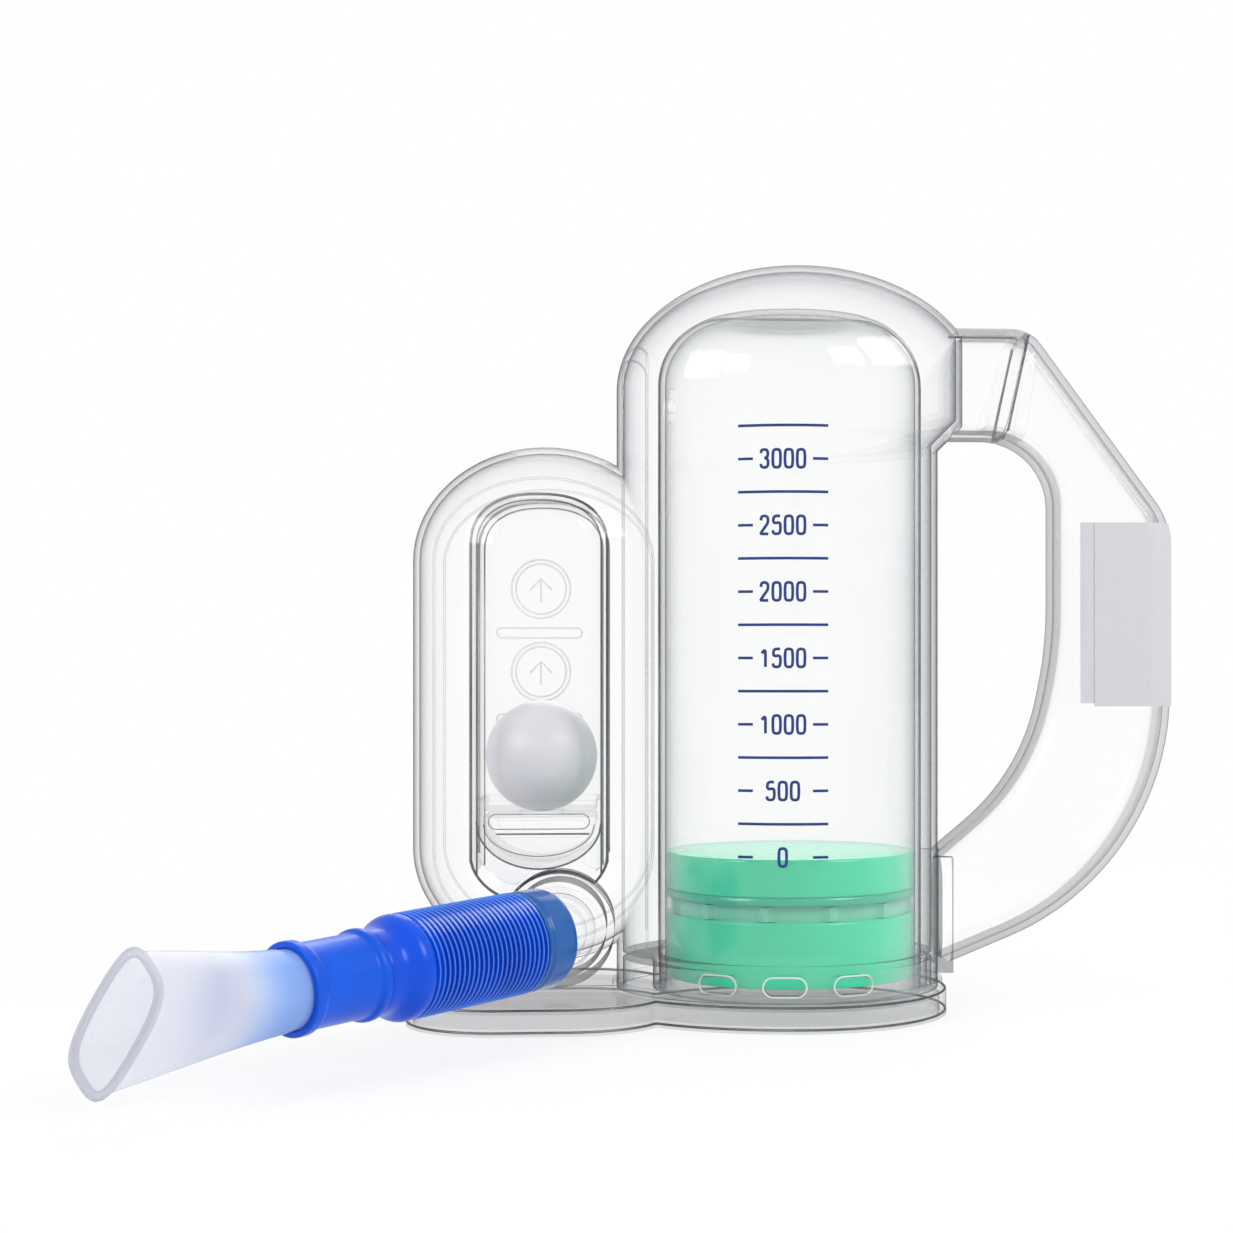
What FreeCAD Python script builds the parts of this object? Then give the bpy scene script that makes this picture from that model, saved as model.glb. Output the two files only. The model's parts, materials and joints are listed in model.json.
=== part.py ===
"""Incentive spirometer with a piston cylinder, a single-ball flow chamber, a hollow handle and a hose.

Millimetres, +Z up, the user's side is -Y and the handle is on +X.
The origin is on the axis of the piston cylinder, at the height of the table.
"""

import FreeCAD, Part

import math
import os

from FreeCAD import Vector

# Clear tower that surrounds the piston cylinder
TOWER_AXIS_X = 3.0
TOWER_RADIUS = 45.0
TOWER_LEFT_EXTRA = 14.3
TOWER_SPRING_Z = 201.0
TOWER_DOME = 41.0
SHELL_WALL = 2.0
SHOULDER_Z = 182.0
SHOULDER_OUT = 8.0
FOOT_TOP_Z = 20.0
FOOT_FIT = 0.1

# Small pod that surrounds the ball chamber
POD_OFFSET = 22.7
POD_REACH = 42.5
POD_DEPTH = 32.0
POD_CAP = 37.0
POD_TOP_Z = 182.7
POD_BOTTOM_Z = 17.0
WEB_THICK = 2.4
WEB_LEFT = 29.0
WEB_LAP = 8.0

# Base
DECK_TOP_Z = 8.5
DECK_THICK = 2.2
BASE_WALL = 2.2
BASE_ROUND = 1.0
BASE_LEDGE = 2.8
POD_BASE_LEFT = 43.0
POD_BASE_RIGHT = 39.0
POD_BASE_DEPTH = 47.0
POD_BASE_CORNER = 30.0
COLLAR_HIGH = 2.7
COLLAR_WIDE = 1.4
PLATE_THICK = 2.0
PLATE_GAP = 0.2

# Piston cylinder
JACKET_GAP = 0.5
CYLINDER_WALL = 1.8
CYLINDER_TOP_Z = 225.0
CYLINDER_SHOULDER = 22.0
OUTLET_RADIUS = 4.0
OUTLET_Z = 196.5
OUTLET_TURN_DEG = 20.0
VENT_WIDE = 13.0
VENT_HIGH = 5.6
VENT_Z = 13.8
VENT_STEP_DEG = 28.0
VENT_TURN_DEG = -6.0
VENT_DEEP = 12.0

# Piston
PISTON_GAP = 0.5
PISTON_TOP_Z = 52.5
PISTON_WALL = 1.6
CROWN_BOTTOM_Z = 40.6
CROWN_ROUND = 1.2
SEAL_HIGH = 2.8
SEAL_GAP = 0.2
SEAL_DEEP = 4.8
BAND_HIGH = 4.9
BAND_DEEP = 2.2
BAND_RIBS = 12
RIB_WIDE = 1.0
RIB_SUNK = 0.4
RIB_ROOT = 0.5
SKIRT_BOTTOM_Z = 12.5
REST_GAP = 0.3
REST_WIDE = 5.0
REST_SIDE_GAP = 1.2

# Ball chamber, ball seat and ball
CHAMBER_OFFSET = 1.5
CHAMBER_WIDE = 43.6
CHAMBER_CORNER = 8.5
CHAMBER_WALL = 1.9
CHAMBER_TOP_Z = 166.8
CHAMBER_CROWN = 8.2
CROWN_SPARE = 0.3
CHAMBER_BOTTOM_Z = 37.5
CHAMBER_BOWL = 16.0
CHAMBER_OUTLET_RADIUS = 3.5
CHAMBER_OUTLET_Z = 152.0
BALL_RADIUS = 18.0
BALL_WALL = 1.0
BALL_REST_Z = 83.2
BALL_GAP = 0.3
SEAT_HOLE_RADIUS = 7.0
SEAT_PLATE = 2.0
SEAT_RIM_HIGH = 3.4
SEAT_BOTTOM_Z = 48.3
SEAT_WALL = 2.0
SEAT_FIT = 0.1
SEAT_BOWL = 15.0
WINDOW_WIDE = 30.0
WINDOW_HIGH = 5.4
WINDOW_Z = 60.9
MEDAL_RADIUS = 9.8
MEDAL_RING = 1.5
MEDAL_PROUD = 0.7
MEDAL_OFFSET = 1.0
MEDAL_HEIGHTS = (137.8, 110.3)
BAR_LONG = 29.0
BAR_HIGH = 3.6
BAR_PROUD = 0.8
BAR_OFFSET = 1.5
RAISED_ROOT = 0.5
BAR_HEIGHTS = (123.2, 94.7)

# Printed scale
SCALE_ZERO_Z = 53.4
SCALE_PITCH = 20.4
SCALE_STEPS = 7
SCALE_TURN_DEG = -7.0
INK_THICK = 0.15
INK_LIFT = 0.01
LINE_HIGH = 0.85
LINE_LONG = 28.2
TICK_LONG = 4.8

# Handle
HANDLE_DEPTH = 15.5
HANDLE_EDGE = 8.6
HANDLE_WALL = 2.2
HANDLE_TOP_Z = 221.6
HANDLE_STUB_HIGH = 35.3
HANDLE_CORNER_OUT = 29.5
HANDLE_CORNER_ROUND = 12.0
HANDLE_OUTER_OUT = 75.6
HANDLE_KNEE_DROP = 62.1
HANDLE_KNEE_ROUND = 24.0
HANDLE_SWEEP_ROUND = 85.0
HANDLE_OUTER_FOOT_Z = 14.3
HANDLE_OUTER_FOOT_DEG = 22.4
HANDLE_INNER_FOOT_Z = 51.1
HANDLE_INNER_FOOT_DEG = 40.0
HANDLE_INNER_ROUND = 70.0
HANDLE_INNER_OUT = 37.6
HANDLE_TILT_RISE = 66.9
HANDLE_INNER_TILT_DEG = 12.0
HANDLE_INNER_TILT_ROUND = 130.0
HANDLE_BEND_ROUND = 22.0
JOINT_TOP_OUT = 28.2
JOINT_BOTTOM_OUT = 20.6
JOINT_ABOVE = 10.0
JOINT_BELOW = 4.0
JOINT_GAP = 0.4
SLEEVE_LONG = 7.0
SLEEVE_WALL = 1.4
SLEEVE_FIT = 0.15
FLANGE_OUT = 3.0
FLANGE_PROUD = 3.0

# Paper label on the handle
LABEL_THICK = 0.25
LABEL_LIFT = 0.03
LABEL_HIGH = 59.2
LABEL_DROP = 1.1
LABEL_FRONT = 31.0
LABEL_BACK = 19.6
LABEL_FLAP_WIDE = 4.5
LABEL_FLAP_CUT = 1.0

# Hose, adapter and mouthpiece along one straight axis
PORT_SHIFT = 0.8
PORT_OUT = 13.0
PORT_HIGH = 29.8
HEADING_DEG = 42.0
DIP_DEG = 2.75
CUFF_LONG = 12.0
HOSE_RADIUS = 15.3
HOSE_GROOVE = 1.3
HOSE_WALL = 0.9
HOSE_FOLDS = 22
FOLD_CREST = 0.3
CUFF_STEP = 0.1
HOSE_END = 53.0
SPIGOT_RADIUS = 11.0
SPIGOT_BORE = 9.0
SPIGOT_FIT = 0.06
ELBOW_BACK = 6.0
ELBOW_RADIUS = 11.6
BOSS_RADIUS = 17.5
BOSS_SUNK = 1.0
BOSS_LONG = 23.0
BOSS_WALL = 2.5
PORT_FLANGE_OUT = 2.2
PORT_FLANGE_THICK = 1.2
BELL_END = 71.0
BELL_SHOULDER = 60.5
BELL_WALL = 1.6
BELL_EDGE = 0.3
BELL_LEAD = 1.0
BELL_SLOPE = 1.6
TAIL_START = 60.0
TAIL_RADIUS = 10.6
TAIL_GAP = 0.5
ADAPTER_RADIUS = 12.0
ADAPTER_END = 97.5
ADAPTER_BORE = 8.0
COLLAR_RADIUS = 13.1
COLLAR_LONG = 2.4
COLLAR_GAP = 0.3
COLLAR_SLOPE = 0.8
SOCKET_START = 84.0
NOSE_RADIUS = 9.1
NOSE_END = 108.0
MOUTH_START = 84.6
MOUTH_ROUND_END = 99.0
MOUTH_END = 152.5
MOUTH_RADIUS = 11.0
MOUTH_WALL = 1.4
MOUTH_STEP = 0.3
LIP_HALF_LONG = 22.4
LIP_HALF_SHORT = 10.6
LIP_LEAN_DEG = 47.0
LIP_FULLNESS = 0.42
LIP_PINCH = 0.10
LIP_BEAD = 1.1
LIP_POINTS = 24

TOWER_REACH = TOWER_RADIUS + TOWER_LEFT_EXTRA
TOWER_SIDE_X = TOWER_AXIS_X + TOWER_RADIUS
POD_X = TOWER_AXIS_X - TOWER_REACH - POD_OFFSET
CHAMBER_X = POD_X - CHAMBER_OFFSET
CYLINDER_RADIUS = TOWER_RADIUS - SHELL_WALL - JACKET_GAP
CYLINDER_BORE = CYLINDER_RADIUS - CYLINDER_WALL
PISTON_RADIUS = CYLINDER_BORE - PISTON_GAP
POD_HIGH_Z = POD_TOP_Z - POD_CAP
POD_LOW_Z = POD_BOTTOM_Z + POD_CAP
HANDLE_STUB_BOTTOM_Z = HANDLE_TOP_Z - HANDLE_STUB_HIGH
HANDLE_OUTER_X = TOWER_SIDE_X + HANDLE_OUTER_OUT
HANDLE_KNEE_Z = HANDLE_TOP_Z - HANDLE_KNEE_DROP
PORT_END = Vector(POD_X + PORT_SHIFT, -POD_DEPTH - PORT_OUT, PORT_HIGH)
BOSS_FACE_Y = BOSS_SUNK - POD_DEPTH
BOSS_BACK_Y = BOSS_FACE_Y + BOSS_LONG
SEAT_PLATE_Z = BALL_REST_Z - BALL_GAP - math.sqrt(BALL_RADIUS ** 2 - SEAT_HOLE_RADIUS ** 2)
FAR = 400.0
UP = Vector(0, 0, 1)


def axis_direction():
    """Direction of the hose, from the port to the mouth."""
    heading = math.radians(HEADING_DEG)
    dip = math.radians(DIP_DEG)
    flat = math.cos(dip)
    return Vector(-math.sin(heading) * flat, -math.cos(heading) * flat, -math.sin(dip))


def on_hose(shape):
    """Move a shape built about +Z onto the hose axis, with its X side up and its Y side level."""
    along = axis_direction()
    level = UP.cross(along).normalize()
    upward = along.cross(level).normalize()
    matrix = FreeCAD.Matrix(
        upward.x, level.x, along.x, PORT_END.x,
        upward.y, level.y, along.y, PORT_END.y,
        upward.z, level.z, along.z, PORT_END.z,
        0, 0, 0, 1,
    )
    return shape.transformed(matrix, True)


def box(low, high):
    """Box between two corners."""
    size = [b - a for a, b in zip(low, high)]
    return Part.makeBox(size[0], size[1], size[2], Vector(*low))


def revolved(points):
    """Solid of revolution about +Z from (radius, height) points."""
    wire = Part.makePolygon([Vector(r, 0, z) for r, z in points + points[:1]])
    return Part.Face(wire).revolve(Vector(0, 0, 0), UP, 360)


def tube(outer, inner, low, high):
    """Round tube about +Z."""
    body = Part.makeCylinder(outer, high - low, Vector(0, 0, low))
    return body.cut(Part.makeCylinder(inner, high - low + 2, Vector(0, 0, low - 1)))


def stretched(shape, x, y, z, centre):
    """Scale a unit shape along each axis and move it to its centre."""
    matrix = FreeCAD.Matrix(x, 0, 0, centre.x, 0, y, 0, centre.y, 0, 0, z, centre.z, 0, 0, 0, 1)
    return shape.transformGeometry(matrix)


def unit_capsule(straight, round_bottom):
    """Unit cylinder with a round top at height 0, and a flat or round end below."""
    quarter = math.sqrt(0.5)
    edges = [
        Part.LineSegment(Vector(1, 0, -straight), Vector(1, 0, 0)).toShape(),
        Part.Arc(Vector(1, 0, 0), Vector(quarter, 0, quarter), Vector(0, 0, 1)).toShape(),
    ]
    if round_bottom:
        bottom = -straight - 1
        low_mid = Vector(quarter, 0, -straight - quarter)
        edges.append(Part.LineSegment(Vector(0, 0, 1), Vector(0, 0, bottom)).toShape())
        edges.append(Part.Arc(Vector(0, 0, bottom), low_mid, Vector(1, 0, -straight)).toShape())
    else:
        edges.append(Part.LineSegment(Vector(0, 0, 1), Vector(0, 0, -straight)).toShape())
        edges.append(Part.LineSegment(Vector(0, 0, -straight), Vector(1, 0, -straight)).toShape())
    return Part.Face(Part.Wire(edges)).revolve(Vector(0, 0, 0), UP, 360)


def tower_solid(inset):
    """Tower as a full solid, its surface moved inwards by inset."""
    reach = TOWER_REACH - inset
    radius = TOWER_RADIUS - inset
    dome = TOWER_DOME - inset
    centre = Vector(TOWER_AXIS_X, 0, TOWER_SPRING_Z)
    form = stretched(unit_capsule((TOWER_SPRING_Z - DECK_TOP_Z) / dome, False), reach, radius, dome, centre)
    wide = radius + SHOULDER_OUT
    side = revolved([
        (0, 0),
        (radius, 0),
        (radius, SHOULDER_Z + inset),
        (wide, SHOULDER_Z + inset + SHOULDER_OUT),
        (wide, FAR),
        (0, FAR),
    ])
    side.translate(Vector(TOWER_AXIS_X, 0, 0))
    left = box((-FAR, -FAR, 0), (TOWER_AXIS_X, FAR, FAR))
    return form.common(side.fuse(left))


def pod_solid(inset):
    """Pod as a full solid, its surface moved inwards by inset."""
    cap = POD_CAP - inset
    centre = Vector(POD_X, 0, POD_HIGH_Z)
    form = unit_capsule((POD_HIGH_Z - POD_LOW_Z) / cap, True)
    return stretched(form, POD_REACH - inset, POD_DEPTH - inset, cap, centre)


def rounded_outline(corners):
    """Closed outline in the handle's plane from (x, z, radius) corners, each rounded by its radius."""
    points = [Vector(x, 0, z) for x, z, _ in corners]
    starts = []
    ends = []
    edges = []
    for index, (x, z, radius) in enumerate(corners):
        here = points[index]
        before = (points[index - 1] - here).normalize()
        after = (points[(index + 1) % len(points)] - here).normalize()
        half = before.getAngle(after) / 2
        reach = radius / math.tan(half)
        starts.append(here + before * reach)
        ends.append(here + after * reach)
        if radius:
            inward = (before + after).normalize()
            middle = here + inward * (radius / math.sin(half) - radius)
            edges.append(Part.Arc(starts[-1], middle, ends[-1]).toShape())
    for index in range(len(corners)):
        edges.append(Part.LineSegment(ends[index - 1], starts[index]).toShape())
    return Part.Wire(Part.__sortEdges__(edges))


def handle_outline():
    """Side view of the handle and its upper stub, from the tower and back to it."""
    root_x = TOWER_SIDE_X - SHELL_WALL
    corner_x = TOWER_SIDE_X + HANDLE_CORNER_OUT
    grip_x = TOWER_SIDE_X + HANDLE_INNER_OUT
    tilt_z = HANDLE_INNER_FOOT_Z + HANDLE_TILT_RISE
    outer_run = HANDLE_OUTER_X - root_x
    outer_corner_z = HANDLE_OUTER_FOOT_Z + outer_run * math.tan(math.radians(HANDLE_OUTER_FOOT_DEG))
    foot_slope = math.tan(math.radians(HANDLE_INNER_FOOT_DEG))
    tilt = math.tan(math.radians(HANDLE_INNER_TILT_DEG))
    tilt_drop = HANDLE_TILT_RISE - foot_slope * (grip_x - root_x)
    inner_x = grip_x - tilt * tilt_drop / (1 - tilt * foot_slope)
    inner_z = HANDLE_INNER_FOOT_Z + foot_slope * (inner_x - root_x)
    return rounded_outline([
        (root_x, HANDLE_TOP_Z, 0),
        (corner_x, HANDLE_TOP_Z, HANDLE_CORNER_ROUND),
        (HANDLE_OUTER_X, HANDLE_KNEE_Z, HANDLE_KNEE_ROUND),
        (HANDLE_OUTER_X, outer_corner_z, HANDLE_SWEEP_ROUND),
        (root_x, HANDLE_OUTER_FOOT_Z, 0),
        (root_x, HANDLE_INNER_FOOT_Z, 0),
        (inner_x, inner_z, HANDLE_INNER_ROUND),
        (grip_x, tilt_z, HANDLE_INNER_TILT_ROUND),
        (grip_x, HANDLE_STUB_BOTTOM_Z, HANDLE_BEND_ROUND),
        (root_x, HANDLE_STUB_BOTTOM_Z, 0),
    ])


def handle_solid(inset):
    """Handle and stub as a full solid with rounded long edges, its surface moved inwards by inset."""
    wire = handle_outline()
    if inset:
        wire = wire.makeOffset2D(-inset, 2, False, False, True)
    depth = HANDLE_DEPTH - inset
    body = Part.Face(wire).extrude(Vector(0, 2 * depth, 0))
    body.translate(Vector(0, -depth, 0))
    rim = [edge for edge in body.Edges if abs(abs(edge.BoundBox.YMin) - depth) < 0.01
           and edge.BoundBox.YLength < 0.01 and edge.BoundBox.XLength + edge.BoundBox.ZLength > 0.01
           and edge.BoundBox.XMax > TOWER_SIDE_X + HANDLE_EDGE]
    return body.makeFillet(HANDLE_EDGE - inset, rim)


def handle_side(gap):
    """Half space on the outer side of the slanted joint, starting gap past it."""
    top = Vector(TOWER_SIDE_X + JOINT_TOP_OUT + gap, -FAR, HANDLE_TOP_Z)
    bottom = Vector(TOWER_SIDE_X + JOINT_BOTTOM_OUT + gap, -FAR, HANDLE_STUB_BOTTOM_Z)
    along = (top - bottom).normalize()
    low = bottom - along * JOINT_BELOW
    high = top + along * JOINT_ABOVE
    corner_high = Vector(FAR, -FAR, high.z)
    corner_low = Vector(FAR, -FAR, -FAR)
    knee = Vector(low.x + gap, -FAR, low.z)
    floor = Vector(TOWER_AXIS_X, -FAR, low.z)
    deep = Vector(TOWER_AXIS_X, -FAR, -FAR)
    wire = Part.makePolygon([high, corner_high, corner_low, deep, floor, knee, high])
    return Part.Face(wire).extrude(Vector(0, 2 * FAR, 0))


def front_half(shape):
    """Part of a shape on the user's side of the middle plane."""
    return shape.common(box((-FAR, -FAR, -FAR), (FAR, 0, FAR)))


def rear_half(shape):
    """Part of a shape behind the middle plane."""
    return shape.common(box((-FAR, 0, -FAR), (FAR, FAR, FAR)))


def radial_slots(radius_in, radius_out):
    """Three pill-shaped air slots near the bottom of the cylinder's front."""
    slots = []
    for step in (-1, 0, 1):
        straight = VENT_WIDE - VENT_HIGH
        deep = radius_out - radius_in
        middle = box((-straight / 2, -radius_out, VENT_Z - VENT_HIGH / 2),
                     (straight / 2, -radius_in, VENT_Z + VENT_HIGH / 2))
        for side in (-1, 1):
            end = Part.makeCylinder(VENT_HIGH / 2, deep, Vector(side * straight / 2, -radius_out, VENT_Z),
                                    Vector(0, 1, 0))
            middle = middle.fuse(end)
        middle.rotate(Vector(0, 0, 0), UP, VENT_TURN_DEG + step * VENT_STEP_DEG)
        slots.append(middle)
    return Part.makeCompound(slots)


def boss_cylinder(radius, front_y, back_y):
    """Cylinder along Y on the axis of the port's boss."""
    centre = elbow_centre()
    return Part.makeCylinder(radius, back_y - front_y, Vector(centre.x, front_y, centre.z), Vector(0, 1, 0))


def housing():
    """Both halves of the clear housing as one hollow body."""
    stub = handle_solid(0).cut(handle_solid(HANDLE_WALL)).cut(handle_side(-JOINT_GAP / 2))
    foot = box((-FAR, -FAR, DECK_TOP_Z), (FAR, FAR, FOOT_TOP_Z))
    under_foot = box((-FAR, -FAR, 0), (FAR, FAR, FOOT_TOP_Z - SHELL_WALL))
    socket = Part.makeCylinder(CYLINDER_RADIUS + FOOT_FIT + SHELL_WALL, FAR)
    inner_tower = tower_solid(SHELL_WALL)
    inner_pod = pod_solid(SHELL_WALL)
    foot_space = inner_tower.common(under_foot).cut(socket)
    web_end = TOWER_AXIS_X - TOWER_REACH + WEB_LAP
    web = box((POD_X - WEB_LEFT, 0, DECK_TOP_Z), (web_end, WEB_THICK, POD_LOW_Z))
    body = tower_solid(0).fuse([pod_solid(0), stub, web])
    body = body.cut(inner_tower.cut(foot).fuse(inner_pod)).cut(foot_space)
    body = body.cut(Part.makeCylinder(CYLINDER_RADIUS + FOOT_FIT, FOOT_TOP_Z))
    body = body.cut(radial_slots(CYLINDER_BORE - 1, CYLINDER_RADIUS + VENT_DEEP))
    body = body.fuse(boss_cylinder(BOSS_RADIUS, BOSS_FACE_Y, BOSS_BACK_Y))
    body = body.cut(boss_cylinder(BOSS_RADIUS - BOSS_WALL, BOSS_FACE_Y + BOSS_WALL, BOSS_BACK_Y + 1))
    return body.cut(boss_cylinder(ELBOW_RADIUS + SPIGOT_FIT, -FAR, BOSS_BACK_Y))


def elbow_centre():
    """Point where the port turns from straight out to the hose's direction."""
    return PORT_END - axis_direction() * ELBOW_BACK


def hose_port():
    """Clear elbow that plugs into the pod's boss and carries the hose."""
    centre = elbow_centre()
    start = Vector(centre.x, BOSS_FACE_Y + BOSS_WALL, centre.z)
    long = start.y - centre.y
    back = Vector(0, -1, 0)
    outer = Part.makeCylinder(ELBOW_RADIUS, long, start, back).fuse(Part.makeSphere(ELBOW_RADIUS, centre))
    spigot = Part.makeCylinder(SPIGOT_RADIUS, ELBOW_BACK + CUFF_LONG - 1, centre, axis_direction())
    inner = Part.makeCylinder(SPIGOT_BORE, long + 1, start + Vector(0, 1, 0), back)
    inner = inner.fuse(Part.makeSphere(SPIGOT_BORE, centre))
    inner = inner.fuse(Part.makeCylinder(SPIGOT_BORE, ELBOW_BACK + CUFF_LONG + 1, centre, axis_direction()))
    flange_y = BOSS_FACE_Y - SPIGOT_FIT
    flange = boss_cylinder(ELBOW_RADIUS + PORT_FLANGE_OUT, flange_y - PORT_FLANGE_THICK, flange_y)
    return outer.fuse([spigot, flange]).cut(inner)


def piston_cylinder():
    """Clear cylinder with a rounded closed top, air slots below and two outlets at the top rear."""
    def form(radius, top, shoulder, bottom):
        body = Part.makeCylinder(radius, top - bottom, Vector(0, 0, bottom))
        rim = [edge for edge in body.Edges if abs(edge.BoundBox.ZMin - top) < 0.01
               and edge.BoundBox.ZLength < 0.01]
        return body.makeFillet(shoulder, rim)

    outer = form(CYLINDER_RADIUS, CYLINDER_TOP_Z, CYLINDER_SHOULDER, DECK_TOP_Z)
    inner = form(CYLINDER_BORE, CYLINDER_TOP_Z - CYLINDER_WALL, CYLINDER_SHOULDER - CYLINDER_WALL, 0)
    body = outer.cut(inner).cut(radial_slots(CYLINDER_BORE - 2, CYLINDER_RADIUS + 2))
    for turn in (-OUTLET_TURN_DEG, OUTLET_TURN_DEG):
        hole = Part.makeCylinder(OUTLET_RADIUS, CYLINDER_RADIUS + 2, Vector(0, 0, OUTLET_Z), Vector(-1, 0, 0))
        hole.rotate(Vector(0, 0, 0), UP, turn)
        body = body.cut(hole)
    return body


def rounded_prism(wide, corner, low, high, crown):
    """Upright prism of rounded square section about the chamber's axis, its top edge rounded by crown."""
    half = wide / 2
    body = box((-half, -half, low), (half, half, high))
    body = body.makeFillet(corner, [e for e in body.Edges if e.BoundBox.ZLength > 1])
    if crown:
        top = [e for e in body.Edges if abs(e.BoundBox.ZMin - high) < 0.01 and e.BoundBox.ZLength < 0.01]
        body = body.makeFillet(min(crown, corner - CROWN_SPARE), top)
    body.translate(Vector(CHAMBER_X, 0, 0))
    return body


def bowl_limit(wide, bottom, bowl):
    """Space above a U-shaped lower edge, seen from the front."""
    half = wide / 2
    column = box((CHAMBER_X - half, -FAR / 4, bottom + bowl), (CHAMBER_X + half, FAR / 4, FAR))
    bowl_end = stretched(Part.makeCylinder(1, FAR / 2, Vector(0, -FAR / 4, 0), Vector(0, 1, 0)),
                         half, 1, bowl, Vector(CHAMBER_X, 0, bottom + bowl))
    return column.fuse(bowl_end)


def ball_chamber():
    """Clear rounded square tube with a closed crown, raised medallions and bars on its back wall."""
    bore = CHAMBER_WIDE - 2 * CHAMBER_WALL
    outer = rounded_prism(CHAMBER_WIDE, CHAMBER_CORNER, CHAMBER_BOTTOM_Z, CHAMBER_TOP_Z, CHAMBER_CROWN)
    inner = rounded_prism(bore, CHAMBER_CORNER - CHAMBER_WALL, 0, CHAMBER_TOP_Z - CHAMBER_WALL, CHAMBER_CROWN)
    body = outer.cut(inner).common(bowl_limit(CHAMBER_WIDE, CHAMBER_BOTTOM_Z, CHAMBER_BOWL))
    body = body.cut(boss_cylinder(BOSS_RADIUS + FOOT_FIT, -FAR / 2, FAR / 2))
    back = bore / 2
    for height in MEDAL_HEIGHTS:
        place = Vector(CHAMBER_X - MEDAL_OFFSET, back - MEDAL_PROUD, height)
        deep = MEDAL_PROUD + RAISED_ROOT
        ring = Part.makeCylinder(MEDAL_RADIUS, deep, place, Vector(0, 1, 0))
        body = body.fuse(ring.cut(Part.makeCylinder(MEDAL_RADIUS - MEDAL_RING, deep, place, Vector(0, 1, 0))))
    bar_x = CHAMBER_X - BAR_OFFSET
    for height in BAR_HEIGHTS:
        bar = box((bar_x - BAR_LONG / 2, back - BAR_PROUD, height - BAR_HIGH / 2),
                  (bar_x + BAR_LONG / 2, back + RAISED_ROOT, height + BAR_HIGH / 2))
        bar = bar.makeFillet(BAR_HIGH / 2.2, [e for e in bar.Edges if e.BoundBox.YLength > BAR_PROUD])
        limit = rounded_prism(bore + 2 * RAISED_ROOT, CHAMBER_CORNER - CHAMBER_WALL, 0, FAR, 0)
        body = body.fuse(bar.common(limit))
    outlet = Part.makeCylinder(CHAMBER_OUTLET_RADIUS, CHAMBER_WIDE, Vector(CHAMBER_X, 0, CHAMBER_OUTLET_Z),
                               Vector(1, 0, 0))
    return body.cut(outlet)


def ball_seat():
    """Clear U-shaped cup with a drilled top plate for the ball and a long air window at front and back."""
    wide = CHAMBER_WIDE - 2 * CHAMBER_WALL - 2 * SEAT_FIT
    corner = CHAMBER_CORNER - CHAMBER_WALL - SEAT_FIT
    rim_z = SEAT_PLATE_Z + SEAT_RIM_HIGH
    limit = bowl_limit(wide, SEAT_BOTTOM_Z, SEAT_BOWL)
    outer = rounded_prism(wide, corner, SEAT_BOTTOM_Z, rim_z, 0).common(limit)
    well = rounded_prism(wide - 2 * SEAT_WALL, corner - SEAT_WALL, SEAT_PLATE_Z, rim_z + 1, 0)
    space_limit = bowl_limit(wide - 2 * SEAT_WALL, SEAT_BOTTOM_Z + SEAT_WALL, SEAT_BOWL - SEAT_WALL)
    space = rounded_prism(wide - 2 * SEAT_WALL, corner - SEAT_WALL, SEAT_BOTTOM_Z + SEAT_WALL,
                          SEAT_PLATE_Z - SEAT_PLATE, 0).common(space_limit)
    under_plate = Vector(CHAMBER_X, 0, SEAT_PLATE_Z - SEAT_PLATE - 1)
    hole = Part.makeCylinder(SEAT_HOLE_RADIUS, SEAT_PLATE + 2, under_plate)
    window = box((CHAMBER_X - WINDOW_WIDE / 2, -wide, WINDOW_Z - WINDOW_HIGH / 2),
                 (CHAMBER_X + WINDOW_WIDE / 2, wide, WINDOW_Z + WINDOW_HIGH / 2))
    window = window.makeFillet(WINDOW_HIGH / 2.1, [e for e in window.Edges if e.BoundBox.YLength > 1])
    return outer.cut([well, space, hole, window])


def ball():
    """Light hollow ball, modelled as a sphere shell."""
    centre = Vector(CHAMBER_X, 0, BALL_REST_Z)
    return Part.makeSphere(BALL_RADIUS, centre).cut(Part.makeSphere(BALL_RADIUS - BALL_WALL, centre))


def tower_plan(out, low, high):
    """Upright prism with the tower's plan, its sides moved outwards by out."""
    radius = TOWER_RADIUS + out
    oval = Part.Ellipse(Vector(TOWER_AXIS_X, 0, low), TOWER_REACH + out, radius)
    left = Part.ArcOfEllipse(oval, math.pi / 2, 3 * math.pi / 2).toShape()
    right = Part.Arc(Vector(TOWER_AXIS_X, -radius, low), Vector(TOWER_AXIS_X + radius, 0, low),
                     Vector(TOWER_AXIS_X, radius, low)).toShape()
    return Part.Face(Part.Wire([left, right])).extrude(Vector(0, 0, high - low))


def base_outline(inset, low, high):
    """Figure-of-eight plate: the ledge round the tower joined to the pod's rounded foot."""
    left = POD_X - POD_BASE_LEFT + inset
    right = POD_X + POD_BASE_RIGHT - inset
    depth = POD_BASE_DEPTH - inset
    pod = box((left, -depth, low), (right, depth, high))
    pod = pod.makeFillet(POD_BASE_CORNER - inset, [e for e in pod.Edges if e.BoundBox.ZLength > 1
                                                   and e.BoundBox.XLength < 0.01])
    return pod.fuse(tower_plan(BASE_LEDGE - inset, low, high)).removeSplitter()


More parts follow.
